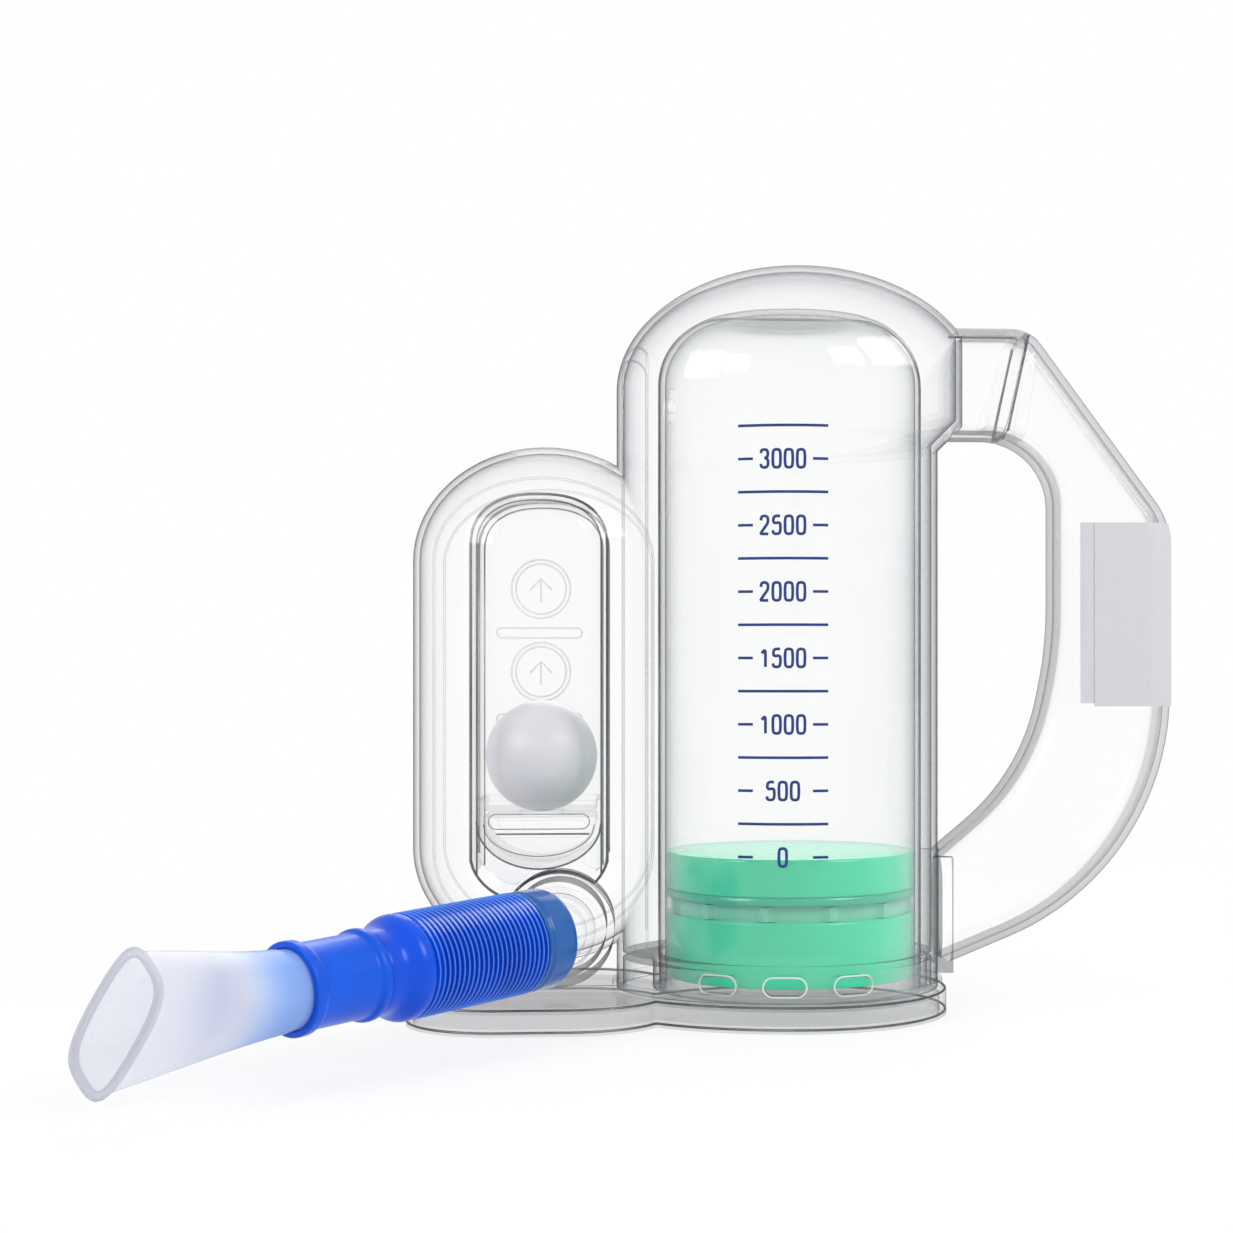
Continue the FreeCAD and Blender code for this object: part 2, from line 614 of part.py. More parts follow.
def base_tray():
    """Clear stepped base, hollow below, with a collar that the tower's foot stands in."""
    body = base_outline(0, 0, DECK_TOP_Z)
    top = [e for e in body.Edges if abs(e.BoundBox.ZMin - DECK_TOP_Z) < 0.01 and e.BoundBox.ZLength < 0.01]
    body = body.makeFillet(BASE_ROUND, top)
    body = body.cut(base_outline(BASE_WALL, -1, DECK_TOP_Z - DECK_THICK))
    collar_low = DECK_TOP_Z - DECK_THICK / 2
    collar_high = DECK_TOP_Z + COLLAR_HIGH
    collar = tower_plan(FOOT_FIT + COLLAR_WIDE, collar_low, collar_high)
    body = body.fuse(collar)
    web_end = TOWER_AXIS_X - TOWER_REACH + WEB_LAP
    web_slot = box((-FAR, -FOOT_FIT, DECK_TOP_Z), (web_end, WEB_THICK + FOOT_FIT, collar_high))
    return body.cut(tower_plan(FOOT_FIT, DECK_TOP_Z, collar_high)).cut(web_slot)


def base_plate():
    """Closing plate in the underside of the base."""
    return base_outline(BASE_WALL + PLATE_GAP, 0, PLATE_THICK)


def piston_rest():
    """Ring on the deck that the piston comes down on."""
    outer = PISTON_RADIUS - REST_SIDE_GAP
    return tube(outer, outer - REST_WIDE, DECK_TOP_Z, SKIRT_BOTTOM_Z - REST_GAP)


def piston_crown():
    """Top cap of the piston, open below."""
    top = PISTON_TOP_Z
    outer = revolved([
        (0, CROWN_BOTTOM_Z), (PISTON_RADIUS, CROWN_BOTTOM_Z), (PISTON_RADIUS, top - CROWN_ROUND),
        (PISTON_RADIUS - CROWN_ROUND, top), (0, top),
    ])
    return outer.cut(Part.makeCylinder(PISTON_RADIUS - PISTON_WALL, top - PISTON_WALL - CROWN_BOTTOM_Z,
                                       Vector(0, 0, CROWN_BOTTOM_Z)))


def piston_seal():
    """Soft sealing lip between the crown and the lower body."""
    low = CROWN_BOTTOM_Z - SEAL_HIGH
    return tube(CYLINDER_BORE - SEAL_GAP, PISTON_RADIUS - SEAL_DEEP, low, CROWN_BOTTOM_Z)


def piston_skirt():
    """Lower body of the piston: a ribbed recessed band above a plain skirt, open below."""
    top = CROWN_BOTTOM_Z - SEAL_HIGH
    band = PISTON_RADIUS - BAND_DEEP
    body = revolved([
        (0, top), (band, top), (band, top - BAND_HIGH), (PISTON_RADIUS, top - BAND_HIGH),
        (PISTON_RADIUS, SKIRT_BOTTOM_Z), (PISTON_RADIUS - PISTON_WALL, SKIRT_BOTTOM_Z),
        (PISTON_RADIUS - PISTON_WALL, top - BAND_HIGH - PISTON_WALL),
        (band - PISTON_WALL, top - BAND_HIGH - PISTON_WALL), (band - PISTON_WALL, top - PISTON_WALL),
        (0, top - PISTON_WALL),
    ])
    low = top - BAND_HIGH - RIB_ROOT
    for index in range(BAND_RIBS):
        rib = box((band - RIB_ROOT, -RIB_WIDE / 2, low), (PISTON_RADIUS - RIB_SUNK, RIB_WIDE / 2, top))
        rib.rotate(Vector(0, 0, 0), UP, 360 * (index + 0.5) / BAND_RIBS)
        body = body.fuse(rib)
    return body


def scale_marks():
    """Printed lines and ticks of the volume scale, as thin ink on the cylinder."""
    marks = []

    def mark(height, centre_mm, long_mm):
        inner = CYLINDER_RADIUS + INK_LIFT
        outer = CYLINDER_RADIUS + INK_THICK
        corners = ((inner, 0), (outer, 0), (outer, LINE_HIGH), (inner, LINE_HIGH), (inner, 0))
        section = Part.Face(Part.makePolygon([Vector(x, 0, z) for x, z in corners]))
        sweep = math.degrees(long_mm / CYLINDER_RADIUS)
        ink = section.revolve(Vector(0, 0, 0), UP, sweep)
        turn = -90 + SCALE_TURN_DEG + math.degrees(centre_mm / CYLINDER_RADIUS) - sweep / 2
        ink.rotate(Vector(0, 0, 0), UP, turn)
        ink.translate(Vector(0, 0, height - LINE_HIGH / 2))
        marks.append(ink)

    for step in range(SCALE_STEPS):
        height = SCALE_ZERO_Z + step * SCALE_PITCH
        mark(height + SCALE_PITCH / 2, 0, LINE_LONG)
        for side in (-1, 1):
            mark(height, side * (LINE_LONG - TICK_LONG) / 2, TICK_LONG)
    return Part.makeCompound(marks)


def handle_body():
    """Both halves of the hollow handle as one body."""
    shell = handle_solid(0).cut(handle_solid(HANDLE_WALL)).common(handle_side(JOINT_GAP / 2))
    flange = handle_solid(0)
    root = box((TOWER_AXIS_X, -HANDLE_DEPTH - FLANGE_PROUD, HANDLE_OUTER_FOOT_Z),
               (TOWER_SIDE_X + FLANGE_OUT, HANDLE_DEPTH + FLANGE_PROUD, HANDLE_INNER_FOOT_Z))
    root = root.cut(flange.common(handle_solid(HANDLE_WALL)))
    return shell.fuse(root).cut(tower_solid(-FOOT_FIT / 2))


def handle_sleeve():
    """Short sleeve inside the slanted joint between the stub and the handle."""
    outer = handle_solid(HANDLE_WALL + SLEEVE_FIT)
    inner = handle_solid(HANDLE_WALL + SLEEVE_FIT + SLEEVE_WALL)
    ring = outer.cut(inner)
    return ring.common(handle_side(-SLEEVE_LONG / 2)).cut(handle_side(SLEEVE_LONG / 2))


def label():
    """Paper label on the outer side of the handle, with a folded strip along its left edge."""
    inner = handle_solid(-LABEL_LIFT)
    outer = handle_solid(-LABEL_LIFT - LABEL_THICK)
    double = handle_solid(-LABEL_LIFT - 2 * LABEL_THICK)
    top = HANDLE_KNEE_Z - LABEL_DROP
    bottom = top - LABEL_HIGH
    left = HANDLE_OUTER_X - LABEL_FRONT
    zone = box((left + LABEL_FLAP_WIDE, -FAR, bottom), (FAR, 0, top))
    back = box((HANDLE_OUTER_X - LABEL_BACK, 0, bottom), (FAR, FAR, top))
    flap = box((left, -FAR, bottom + LABEL_FLAP_CUT), (left + LABEL_FLAP_WIDE * 2, 0, top))
    top_sheet = double.cut(outer).common(zone)
    under_sheet = outer.cut(inner).common(zone.fuse([back, flap]))
    return top_sheet.fuse(under_sheet)


def hose_cuff():
    """Smooth sleeve at the hose's end, pushed onto the port."""
    return on_hose(tube(HOSE_RADIUS - CUFF_STEP, SPIGOT_RADIUS + SPIGOT_FIT, 0, CUFF_LONG))


def hose():
    """Corrugated hose as thin folds between the cuff and the bell."""
    pitch = (HOSE_END - CUFF_LONG) / HOSE_FOLDS
    outer = []
    inner = []
    for fold in range(HOSE_FOLDS):
        start = CUFF_LONG + fold * pitch
        crest = pitch * (1 - FOLD_CREST) / 2
        outer += [(HOSE_RADIUS - HOSE_GROOVE, start), (HOSE_RADIUS, start + crest),
                  (HOSE_RADIUS, start + pitch - crest)]
        inner += [(HOSE_RADIUS - HOSE_GROOVE - HOSE_WALL, start),
                  (HOSE_RADIUS - HOSE_WALL, start + pitch / 2)]
    outer.append((HOSE_RADIUS - HOSE_GROOVE, HOSE_END))
    inner.append((HOSE_RADIUS - HOSE_GROOVE - HOSE_WALL, HOSE_END))
    return on_hose(revolved(outer + inner[::-1]))


def hose_bell():
    """Smooth end of the hose that narrows onto the adapter."""
    shoulder = HOSE_RADIUS - TAIL_RADIUS - SPIGOT_FIT - BELL_WALL
    drop = BELL_SHOULDER + shoulder * BELL_SLOPE
    neck = TAIL_RADIUS + SPIGOT_FIT
    outer = [
        (HOSE_RADIUS - BELL_EDGE, HOSE_END), (HOSE_RADIUS, HOSE_END + BELL_LEAD),
        (HOSE_RADIUS, BELL_SHOULDER), (HOSE_RADIUS - shoulder / 3, BELL_SHOULDER + shoulder * BELL_SLOPE / 2),
        (neck + BELL_WALL, drop), (neck + BELL_WALL, BELL_END),
    ]
    inner = [
        (neck, BELL_END), (neck, TAIL_START), (HOSE_RADIUS - BELL_WALL, TAIL_START - 2 * BELL_LEAD),
        (HOSE_RADIUS - BELL_WALL, HOSE_END),
    ]
    return on_hose(revolved(outer + inner))


def adapter():
    """Blue adapter: tail in the bell, two collars, and a socket with an inner nose for the mouthpiece."""
    socket = MOUTH_RADIUS + SPIGOT_FIT
    points = [
        (ADAPTER_BORE, TAIL_START + TAIL_GAP), (TAIL_RADIUS, TAIL_START + TAIL_GAP),
        (TAIL_RADIUS, BELL_END + COLLAR_GAP), (COLLAR_RADIUS, BELL_END + COLLAR_GAP),
        (COLLAR_RADIUS, BELL_END + COLLAR_LONG), (ADAPTER_RADIUS, BELL_END + COLLAR_LONG + COLLAR_SLOPE),
        (ADAPTER_RADIUS, ADAPTER_END - COLLAR_LONG - COLLAR_SLOPE),
        (COLLAR_RADIUS, ADAPTER_END - COLLAR_LONG), (COLLAR_RADIUS, ADAPTER_END),
        (socket, ADAPTER_END), (socket, SOCKET_START), (NOSE_RADIUS, SOCKET_START),
        (NOSE_RADIUS, NOSE_END), (ADAPTER_BORE, NOSE_END),
    ]
    return on_hose(revolved(points))


def lip_wire(height, long, short, fullness, pinch):
    """Closed smooth section of the mouthpiece at a height along the hose axis."""
    lean = math.radians(LIP_LEAN_DEG)
    points = []
    for index in range(LIP_POINTS):
        turn = 2 * math.pi * index / LIP_POINTS
        across = long * math.cos(turn) * (1 + fullness * math.sin(turn) ** 2)
        thin = short * math.sin(turn) * (1 - pinch * math.sin(turn) ** 4)
        upward = across * math.sin(lean) + thin * math.cos(lean)
        level = across * math.cos(lean) - thin * math.sin(lean)
        points.append(Vector(upward, level, height))
    curve = Part.BSplineCurve()
    curve.interpolate(Points=points, PeriodicFlag=True)
    return Part.Wire([curve.toShape()])


def mouth_form(inset, start, end):
    """Full body of the mouthpiece, round at its start and a pinched oval at its lip."""
    wires = []
    first = MOUTH_RADIUS + MOUTH_STEP
    for share in (0.0, 0.12, 0.4, 0.7, 1.0):
        height = MOUTH_ROUND_END + (end - MOUTH_ROUND_END) * share
        ease = share * share * (3 - 2 * share) * 0.35 + share * 0.65
        long = first + (LIP_HALF_LONG - first) * ease - inset
        short = first + (LIP_HALF_SHORT - first) * ease - inset
        wires.append(lip_wire(height, long, short, LIP_FULLNESS * ease, LIP_PINCH * ease))
    round_end = Part.makeCylinder(MOUTH_RADIUS - inset, MOUTH_ROUND_END - start + 1, Vector(0, 0, start))
    return Part.makeLoft(wires, True, False).fuse(round_end)


def mouthpiece():
    """Frosted mouthpiece with a rolled rim at its lip."""
    outer = mouth_form(0, MOUTH_START, MOUTH_END)
    inner = mouth_form(MOUTH_WALL, MOUTH_START - 1, MOUTH_END + 0.01)
    bead_low = lip_wire(MOUTH_END - 2 * LIP_BEAD, LIP_HALF_LONG + LIP_BEAD, LIP_HALF_SHORT + LIP_BEAD,
                        LIP_FULLNESS, LIP_PINCH)
    bead = Part.Face(bead_low).extrude(Vector(0, 0, 2 * LIP_BEAD))
    return on_hose(outer.fuse(bead).cut(inner))


def save(name, shape):
    """Write one sub-part."""
    if shape.ShapeType == "Compound" and len(shape.Solids) == 1:
        shape = shape.Solids[0]
    print(name, len(shape.Solids), round(shape.Volume, 1), shape.isValid())
    shape.exportStep("parts/" + name + ".step")


def build():
    """Make every sub-part and write it."""
    os.makedirs("parts", exist_ok=True)
    shells = housing()
    save("front_shell", front_half(shells))
    save("rear_shell", rear_half(shells))
    save("piston_cylinder", piston_cylinder())
    save("ball_chamber", ball_chamber())
    save("ball_seat", ball_seat())
    save("ball", ball())
    save("base_tray", base_tray())
    save("base_plate", base_plate())
    save("piston_rest", piston_rest())
    save("piston_crown", piston_crown())
    save("piston_seal", piston_seal())
    save("piston_skirt", piston_skirt())
    save("scale_marks", scale_marks())
    grip = handle_body()
    save("handle_front", front_half(grip))
    save("handle_rear", rear_half(grip))
    save("handle_sleeve", handle_sleeve())
    save("label", label())
    save("hose_port", hose_port())
    save("hose_cuff", hose_cuff())
    save("hose", hose())
    save("hose_bell", hose_bell())
    save("adapter", adapter())
    save("mouthpiece", mouthpiece())


build()
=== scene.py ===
import json
import logging
import math
from dataclasses import dataclass, field
from enum import Enum
from typing import Any, Callable, Iterable, Sequence

import bmesh
import bpy
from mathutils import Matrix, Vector


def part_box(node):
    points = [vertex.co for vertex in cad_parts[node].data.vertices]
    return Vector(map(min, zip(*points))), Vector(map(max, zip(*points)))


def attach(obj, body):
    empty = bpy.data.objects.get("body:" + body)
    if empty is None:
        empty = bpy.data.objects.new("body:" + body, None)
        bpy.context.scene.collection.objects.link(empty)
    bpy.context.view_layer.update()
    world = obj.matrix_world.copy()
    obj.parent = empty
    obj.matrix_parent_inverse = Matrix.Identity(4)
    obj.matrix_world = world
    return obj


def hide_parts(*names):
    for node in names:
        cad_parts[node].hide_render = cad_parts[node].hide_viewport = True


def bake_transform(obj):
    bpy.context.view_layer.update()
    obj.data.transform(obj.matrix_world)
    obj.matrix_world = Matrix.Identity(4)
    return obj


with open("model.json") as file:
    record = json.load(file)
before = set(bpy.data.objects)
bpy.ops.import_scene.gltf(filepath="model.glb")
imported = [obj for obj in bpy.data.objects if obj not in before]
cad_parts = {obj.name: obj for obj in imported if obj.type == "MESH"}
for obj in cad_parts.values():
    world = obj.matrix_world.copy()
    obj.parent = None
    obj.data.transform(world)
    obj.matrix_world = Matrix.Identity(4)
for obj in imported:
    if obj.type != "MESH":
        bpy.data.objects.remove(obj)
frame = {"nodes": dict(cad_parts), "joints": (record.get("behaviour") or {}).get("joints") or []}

LOG = logging.getLogger("spirometer")
MM = 0.001
COAT_ROUGHNESS = 0.08
UP = Vector((0.0, 0.0, 1.0))
FRONT = Vector((0.0, -1.0, 0.0))
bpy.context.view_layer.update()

Material = bpy.types.Material
Node = bpy.types.Node
Piece = bpy.types.Object
Tree = bpy.types.NodeTree
Pair = tuple[float, float]
Profile = Sequence[Pair]
Row = Sequence[Vector]
Strip = tuple[Sequence[Row], bool]
Faces = list[tuple[int, ...]]
Skin = tuple[list[Vector], Faces]


class Finish(Enum):
    """Surface finishes of the object and of the studio floor."""

    CLEAR = "clear_polystyrene_polished_moulding"
    CLEAR_INNER = "clear_polystyrene_thin_cylinder"
    CLEAR_BASE = "clear_polystyrene_thick_moulding"
    CLEAR_FLAT = "clear_polystyrene_flat_walls"
    EDGE = "clear_polystyrene_rounded_edge"
    FACET_SHADE_LINE = "clear_polystyrene_moulding_line"
    RELIEF_SHADE = "clear_polystyrene_raised_figures"
    RIM = "clear_polystyrene_bright_slot_edge"
    GREEN = "green_polypropylene_gloss_moulding"
    GREEN_BAND = "pale_green_polypropylene_thin_wall"
    SEAL = "green_silicone_smooth_moulding"
    BALL = "natural_polypropylene_satin_moulding"
    INK = "navy_screen_print_ink"
    PAPER = "coated_label_paper"
    CUFF = "teal_vinyl_translucent_moulding"
    HOSE = "blue_polyethylene_blow_moulding"
    HOSE_CREST_HIGHLIGHT = "blue_polyethylene_stretched_crest"
    BELL = "blue_polyethylene_smooth_end"
    ADAPTER = "blue_polypropylene_gloss_moulding"
    FROSTED = "frosted_polyethylene_moulding"
    FROSTED_INNER = "frosted_polyethylene_lit_inside"
    FROSTED_RIM = "frosted_polyethylene_rolled_rim"
    FLOOR = "pale_studio_floor"


Finishes = dict[Finish, Material]


def linear(colour: str) -> tuple[float, float, float, float]:
    """Turn an sRGB hex colour into linear light.

    Args:
        colour: Six hex digits after a hash sign.

    Returns:
        Red, green, blue and a full alpha.
    """
    values = [int(colour[i:i + 2], 16) / 255 for i in (1, 3, 5)]
    light = [v / 12.92 if v <= 0.04045 else ((v + 0.055) / 1.055) ** 2.4 for v in values]
    return light[0], light[1], light[2], 1.0


def add_node(tree: Tree, kind: str, inputs: dict[Any, Any] | None = None,
             links: dict[Any, Any] | None = None, **settings: Any) -> Node:
    """Add a shader node with its settings, values and links.

    Args:
        tree: The material's or world's node tree.
        kind: Blender's node type.
        inputs: Values by socket name or number.
        links: Output sockets by socket name or number of this node.
        settings: Attributes of the node.

    Returns:
        The new node.
    """
    node = tree.nodes.new(kind)
    for name, value in settings.items():
        setattr(node, name, value)
    for name, value in (inputs or {}).items():
        node.inputs[name].default_value = value
    for name, socket in (links or {}).items():
        tree.links.new(socket, node.inputs[name])
    return node


def new_material(finish: Finish) -> tuple[Material, Tree, Node]:
    """Start an empty material.

    Args:
        finish: The finish that it is for.

    Returns:
        The material, its node tree and its output node.
    """
    material = bpy.data.materials.new(finish.value)
    material.use_nodes = True
    tree = material.node_tree
    tree.nodes.clear()
    return material, tree, add_node(tree, "ShaderNodeOutputMaterial")


@dataclass(frozen=True)
class ClearStyrene:
    """Polystyrene, injection moulded in a polished tool.

    The eye sees almost nothing of a flat wall, a soft grey where the wall curves away, and a fine dark line
    where it stands edge on. The grey and the dark line are painted shade, chosen by how far the wall faces
    away.
    """

    finish: Finish
    haze: float
    band: float
    line: float
    haze_colour: str = "#c9cdd4"
    band_shade_colour: str = "#a3a9b3"
    line_shade_colour: str = "#3a3f48"
    band_power: float = 2.6
    line_power: float = 8.0
    cloud_mm: float = 40.0
    gloss_flat: float = 0.018
    gloss_edge: float = 0.14
    gloss_roughness: float = 0.05
    tone_places: tuple[float, float, float] = (0.1, 0.5, 0.9)

    def make(self) -> Material:
        """Build the material.

        Returns:
            The material, named for its finish.
        """
        material, tree, output = new_material(self.finish)
        facing = add_node(tree, "ShaderNodeLayerWeight", {"Blend": 0.5})
        wide = add_node(tree, "ShaderNodeMath", {1: self.band_power}, {0: facing.outputs["Facing"]},
                        operation="POWER")
        narrow = add_node(tree, "ShaderNodeMath", {1: self.line_power}, {0: facing.outputs["Facing"]},
                          operation="POWER")
        place = add_node(tree, "ShaderNodeTexCoord")
        cloud = add_node(tree, "ShaderNodeTexNoise", {"Scale": 1 / (self.cloud_mm * MM), "Detail": 0.0},
                         {"Vector": place.outputs["Object"]})
        haze = add_node(tree, "ShaderNodeMath", {1: 2 * self.haze}, {0: cloud.outputs["Fac"]},
                        operation="MULTIPLY")
        soft = add_node(tree, "ShaderNodeMath", {1: self.band}, {0: wide.outputs[0], 2: haze.outputs[0]},
                        operation="MULTIPLY_ADD")
        amount = add_node(tree, "ShaderNodeMath", {1: self.line}, {0: narrow.outputs[0], 2: soft.outputs[0]},
                          operation="MULTIPLY_ADD", use_clamp=True)
        # painted shade: the tone deepens from grey to a dark line as the wall turns edge on
        tone = add_node(tree, "ShaderNodeValToRGB", None, {0: facing.outputs["Facing"]})
        ramp = tone.color_ramp.elements
        ramp[0].color = linear(self.haze_colour)
        ramp[0].position = self.tone_places[0]
        ramp[1].color = linear(self.line_shade_colour)
        ramp[1].position = self.tone_places[2]
        ramp.new(self.tone_places[1]).color = linear(self.band_shade_colour)
        clear = add_node(tree, "ShaderNodeBsdfTransparent", {"Color": (1, 1, 1, 1)})
        body = add_node(tree, "ShaderNodeBsdfDiffuse", None, {"Color": tone.outputs[0]})
        wall = add_node(tree, "ShaderNodeMixShader", None,
                        {0: amount.outputs[0], 1: clear.outputs[0], 2: body.outputs[0]})
        share = add_node(tree, "ShaderNodeMath", {1: self.gloss_edge, 2: self.gloss_flat},
                         {0: wide.outputs[0]}, operation="MULTIPLY_ADD")
        gloss = add_node(tree, "ShaderNodeBsdfGlossy", {"Roughness": self.gloss_roughness})
        both = add_node(tree, "ShaderNodeMixShader", None,
                        {0: share.outputs[0], 1: wall.outputs[0], 2: gloss.outputs[0]})
        tree.links.new(both.outputs[0], output.inputs["Surface"])
        return material


@dataclass(frozen=True)
class MouldedPlastic:
    """Solid or milky thermoplastic from a mould, with faint flow clouds and a fine surface grain.

    The clouds keep the colour from looking flat, and the grain spreads the highlight.
    """

    finish: Finish
    colour: str
    cloud_colour: str
    roughness: float
    grain_mm: float
    grain_depth_mm: float
    cloud_mm: float = 18.0
    ior: float = 1.49
    milky: float = 0.0
    milky_mm: float = 3.0
    coat: float = 0.0
    specular: float = 0.5
    cloud_range: Pair = (0.35, 0.65)
    wear: Pair = (0.85, 1.25)
    grain_strength: float = 0.5

    def make(self) -> Material:
        """Build the material.

        Returns:
            The material, named for its finish.
        """
        material, tree, output = new_material(self.finish)
        place = add_node(tree, "ShaderNodeTexCoord")
        cloud = add_node(tree, "ShaderNodeTexNoise", {"Scale": 1 / (self.cloud_mm * MM), "Detail": 3.0},
                         {"Vector": place.outputs["Object"]})
        blend = add_node(tree, "ShaderNodeMapRange",
                         {"From Min": self.cloud_range[0], "From Max": self.cloud_range[1]},
                         {"Value": cloud.outputs["Fac"]})
        colour = add_node(tree, "ShaderNodeMix", {6: linear(self.colour), 7: linear(self.cloud_colour)},
                          {0: blend.outputs[0]}, data_type="RGBA")
        grain = add_node(tree, "ShaderNodeTexNoise", {"Scale": 1 / (self.grain_mm * MM), "Detail": 2.0},
                         {"Vector": place.outputs["Object"]})
        bump = add_node(tree, "ShaderNodeBump",
                        {"Strength": self.grain_strength, "Distance": self.grain_depth_mm * MM},
                        {"Height": grain.outputs["Fac"]})
        wear = add_node(tree, "ShaderNodeMapRange",
                        {"To Min": self.roughness * self.wear[0], "To Max": self.roughness * self.wear[1]},
                        {"Value": grain.outputs["Fac"]})
        skin = add_node(tree, "ShaderNodeBsdfPrincipled",
                        {"IOR": self.ior, "Specular IOR Level": self.specular,
                         "Subsurface Weight": self.milky, "Subsurface Scale": self.milky_mm * MM,
                         "Coat Weight": self.coat, "Coat Roughness": COAT_ROUGHNESS},
                        {"Base Color": colour.outputs[2], "Roughness": wear.outputs[0],
                         "Normal": bump.outputs["Normal"]})
        tree.links.new(skin.outputs[0], output.inputs["Surface"])
        return material


@dataclass(frozen=True)
class FrostedPolyethylene:
    """Polyethylene from a spark-eroded mould, milky and see-through only faintly.

    The fine frost hides what is behind it, and the rim looks denser. Near the end that grips the blue nose a
    pale blue is painted in, painted light for the nose's colour showing through, and the outline is turned a
    darker grey as painted shade. Distances are from the end of the port.
    """

    finish: Finish
    colour: str
    through: float
    glow: float = 0.35
    veil: float = 0.45
    veil_mm: Pair = (112.0, 132.0)
    frost_mm: float = 0.5
    frost_depth_mm: float = 0.05
    frost_strength: float = 0.35
    roughness: float = 0.38
    clear_colour: str = "#f7f7fa"
    outline_shade_colour: str = "#aab0bf"
    painted_nose_light_colour: str = "#a3caff"
    painted_nose_light_mm: Pair = (103.0, 125.0)
    dense_from: float = 0.3
    outline_shade_from: float = 0.65

    def make(self) -> Material:
        """Build the material.

        Returns:
            The material, named for its finish.
        """
        material, tree, output = new_material(self.finish)
        place = add_node(tree, "ShaderNodeTexCoord")
        frost = add_node(tree, "ShaderNodeTexNoise", {"Scale": 1 / (self.frost_mm * MM), "Detail": 2.0},
                         {"Vector": place.outputs["Object"]})
        bump = add_node(tree, "ShaderNodeBump",
                        {"Strength": self.frost_strength, "Distance": self.frost_depth_mm * MM},
                        {"Height": frost.outputs["Fac"]})
        facing = add_node(tree, "ShaderNodeLayerWeight", {"Blend": 0.35}, {"Normal": bump.outputs["Normal"]})
        dense = add_node(tree, "ShaderNodeMapRange",
                         {"From Min": self.dense_from, "To Min": 1 - self.through, "To Max": 1.0},
                         {"Value": facing.outputs["Facing"]})
        clear = add_node(tree, "ShaderNodeBsdfTransparent", {"Color": linear(self.clear_colour)})
        line = find_hose_line()
        along = add_node(tree, "ShaderNodeVectorMath", {1: line.along}, {0: place.outputs["Object"]},
                         operation="DOT_PRODUCT")
        start = line.start.dot(line.along)
        # painted light: pale blue painted near the nose end, for the nose's blue showing through the frost
        near = add_node(tree, "ShaderNodeMapRange",
                        {"From Min": start + self.painted_nose_light_mm[0] * MM, "From Max": start + self.painted_nose_light_mm[1] * MM},
                        {"Value": along.outputs["Value"]}, interpolation_type="SMOOTHSTEP")
        veil = add_node(tree, "ShaderNodeMapRange",
                        {"From Min": start + self.veil_mm[0] * MM, "From Max": start + self.veil_mm[1] * MM,
                         "To Min": self.veil, "To Max": 0.0},
                        {"Value": along.outputs["Value"]}, interpolation_type="SMOOTHSTEP")
        hidden = add_node(tree, "ShaderNodeMath", None, {0: dense.outputs[0], 1: veil.outputs[0]},
                          operation="ADD", use_clamp=True)
        milky = add_node(tree, "ShaderNodeMix", {6: linear(self.painted_nose_light_colour), 7: linear(self.colour)},
                         {0: near.outputs[0]}, data_type="RGBA")
        # painted shade: the colour turns grey towards the outline as the surface faces away
        rim = add_node(tree, "ShaderNodeMapRange", {"From Min": self.outline_shade_from},
                       {"Value": facing.outputs["Facing"]})
        tone = add_node(tree, "ShaderNodeMix", {7: linear(self.outline_shade_colour)},
                        {0: rim.outputs[0], 6: milky.outputs[2]}, data_type="RGBA")
        body = add_node(tree, "ShaderNodeBsdfPrincipled", {"Roughness": self.roughness, "IOR": 1.51},
                        {"Base Color": tone.outputs[2], "Normal": bump.outputs["Normal"]})
        glow = add_node(tree, "ShaderNodeBsdfTranslucent", None, {"Color": tone.outputs[2]})
        milk = add_node(tree, "ShaderNodeMixShader", {0: self.glow}, {1: body.outputs[0], 2: glow.outputs[0]})
        both = add_node(tree, "ShaderNodeMixShader", None,
                        {0: hidden.outputs[0], 1: clear.outputs[0], 2: milk.outputs[0]})
        tree.links.new(both.outputs[0], output.inputs["Surface"])
        return material


@dataclass(frozen=True)
class TranslucentMoulding:
    """Tinted plastic, moulded thin enough for light to pass.

    The eye sees a bright even colour that deepens where two walls lie behind each other.
    """

    finish: Finish
    colour: str
    through_colour: str
    dense: float
    cloud_mm: float = 25.0
    cloud: float = 0.12
    roughness: float = 0.18
    coat: float = 0.2

    def make(self) -> Material:
        """Build the material.

        Returns:
            The material, named for its finish.
        """
        material, tree, output = new_material(self.finish)
        place = add_node(tree, "ShaderNodeTexCoord")
        cloud = add_node(tree, "ShaderNodeTexNoise", {"Scale": 1 / (self.cloud_mm * MM), "Detail": 1.0},
                         {"Vector": place.outputs["Object"]})
        facing = add_node(tree, "ShaderNodeLayerWeight", {"Blend": 0.4})
        edge = add_node(tree, "ShaderNodeMapRange", {"To Min": self.dense, "To Max": 1.0},
                        {"Value": facing.outputs["Facing"]})
        amount = add_node(tree, "ShaderNodeMath", {1: self.cloud},
                          {0: cloud.outputs["Fac"], 2: edge.outputs[0]},
                          operation="MULTIPLY_ADD", use_clamp=True)
        clear = add_node(tree, "ShaderNodeBsdfTransparent", {"Color": linear(self.through_colour)})
        body = add_node(tree, "ShaderNodeBsdfPrincipled",
                        {"Base Color": linear(self.colour), "Roughness": self.roughness, "IOR": 1.49,
                         "Coat Weight": self.coat, "Coat Roughness": COAT_ROUGHNESS})
        both = add_node(tree, "ShaderNodeMixShader", None,
                        {0: amount.outputs[0], 1: clear.outputs[0], 2: body.outputs[0]})
        tree.links.new(both.outputs[0], output.inputs["Surface"])
        return material


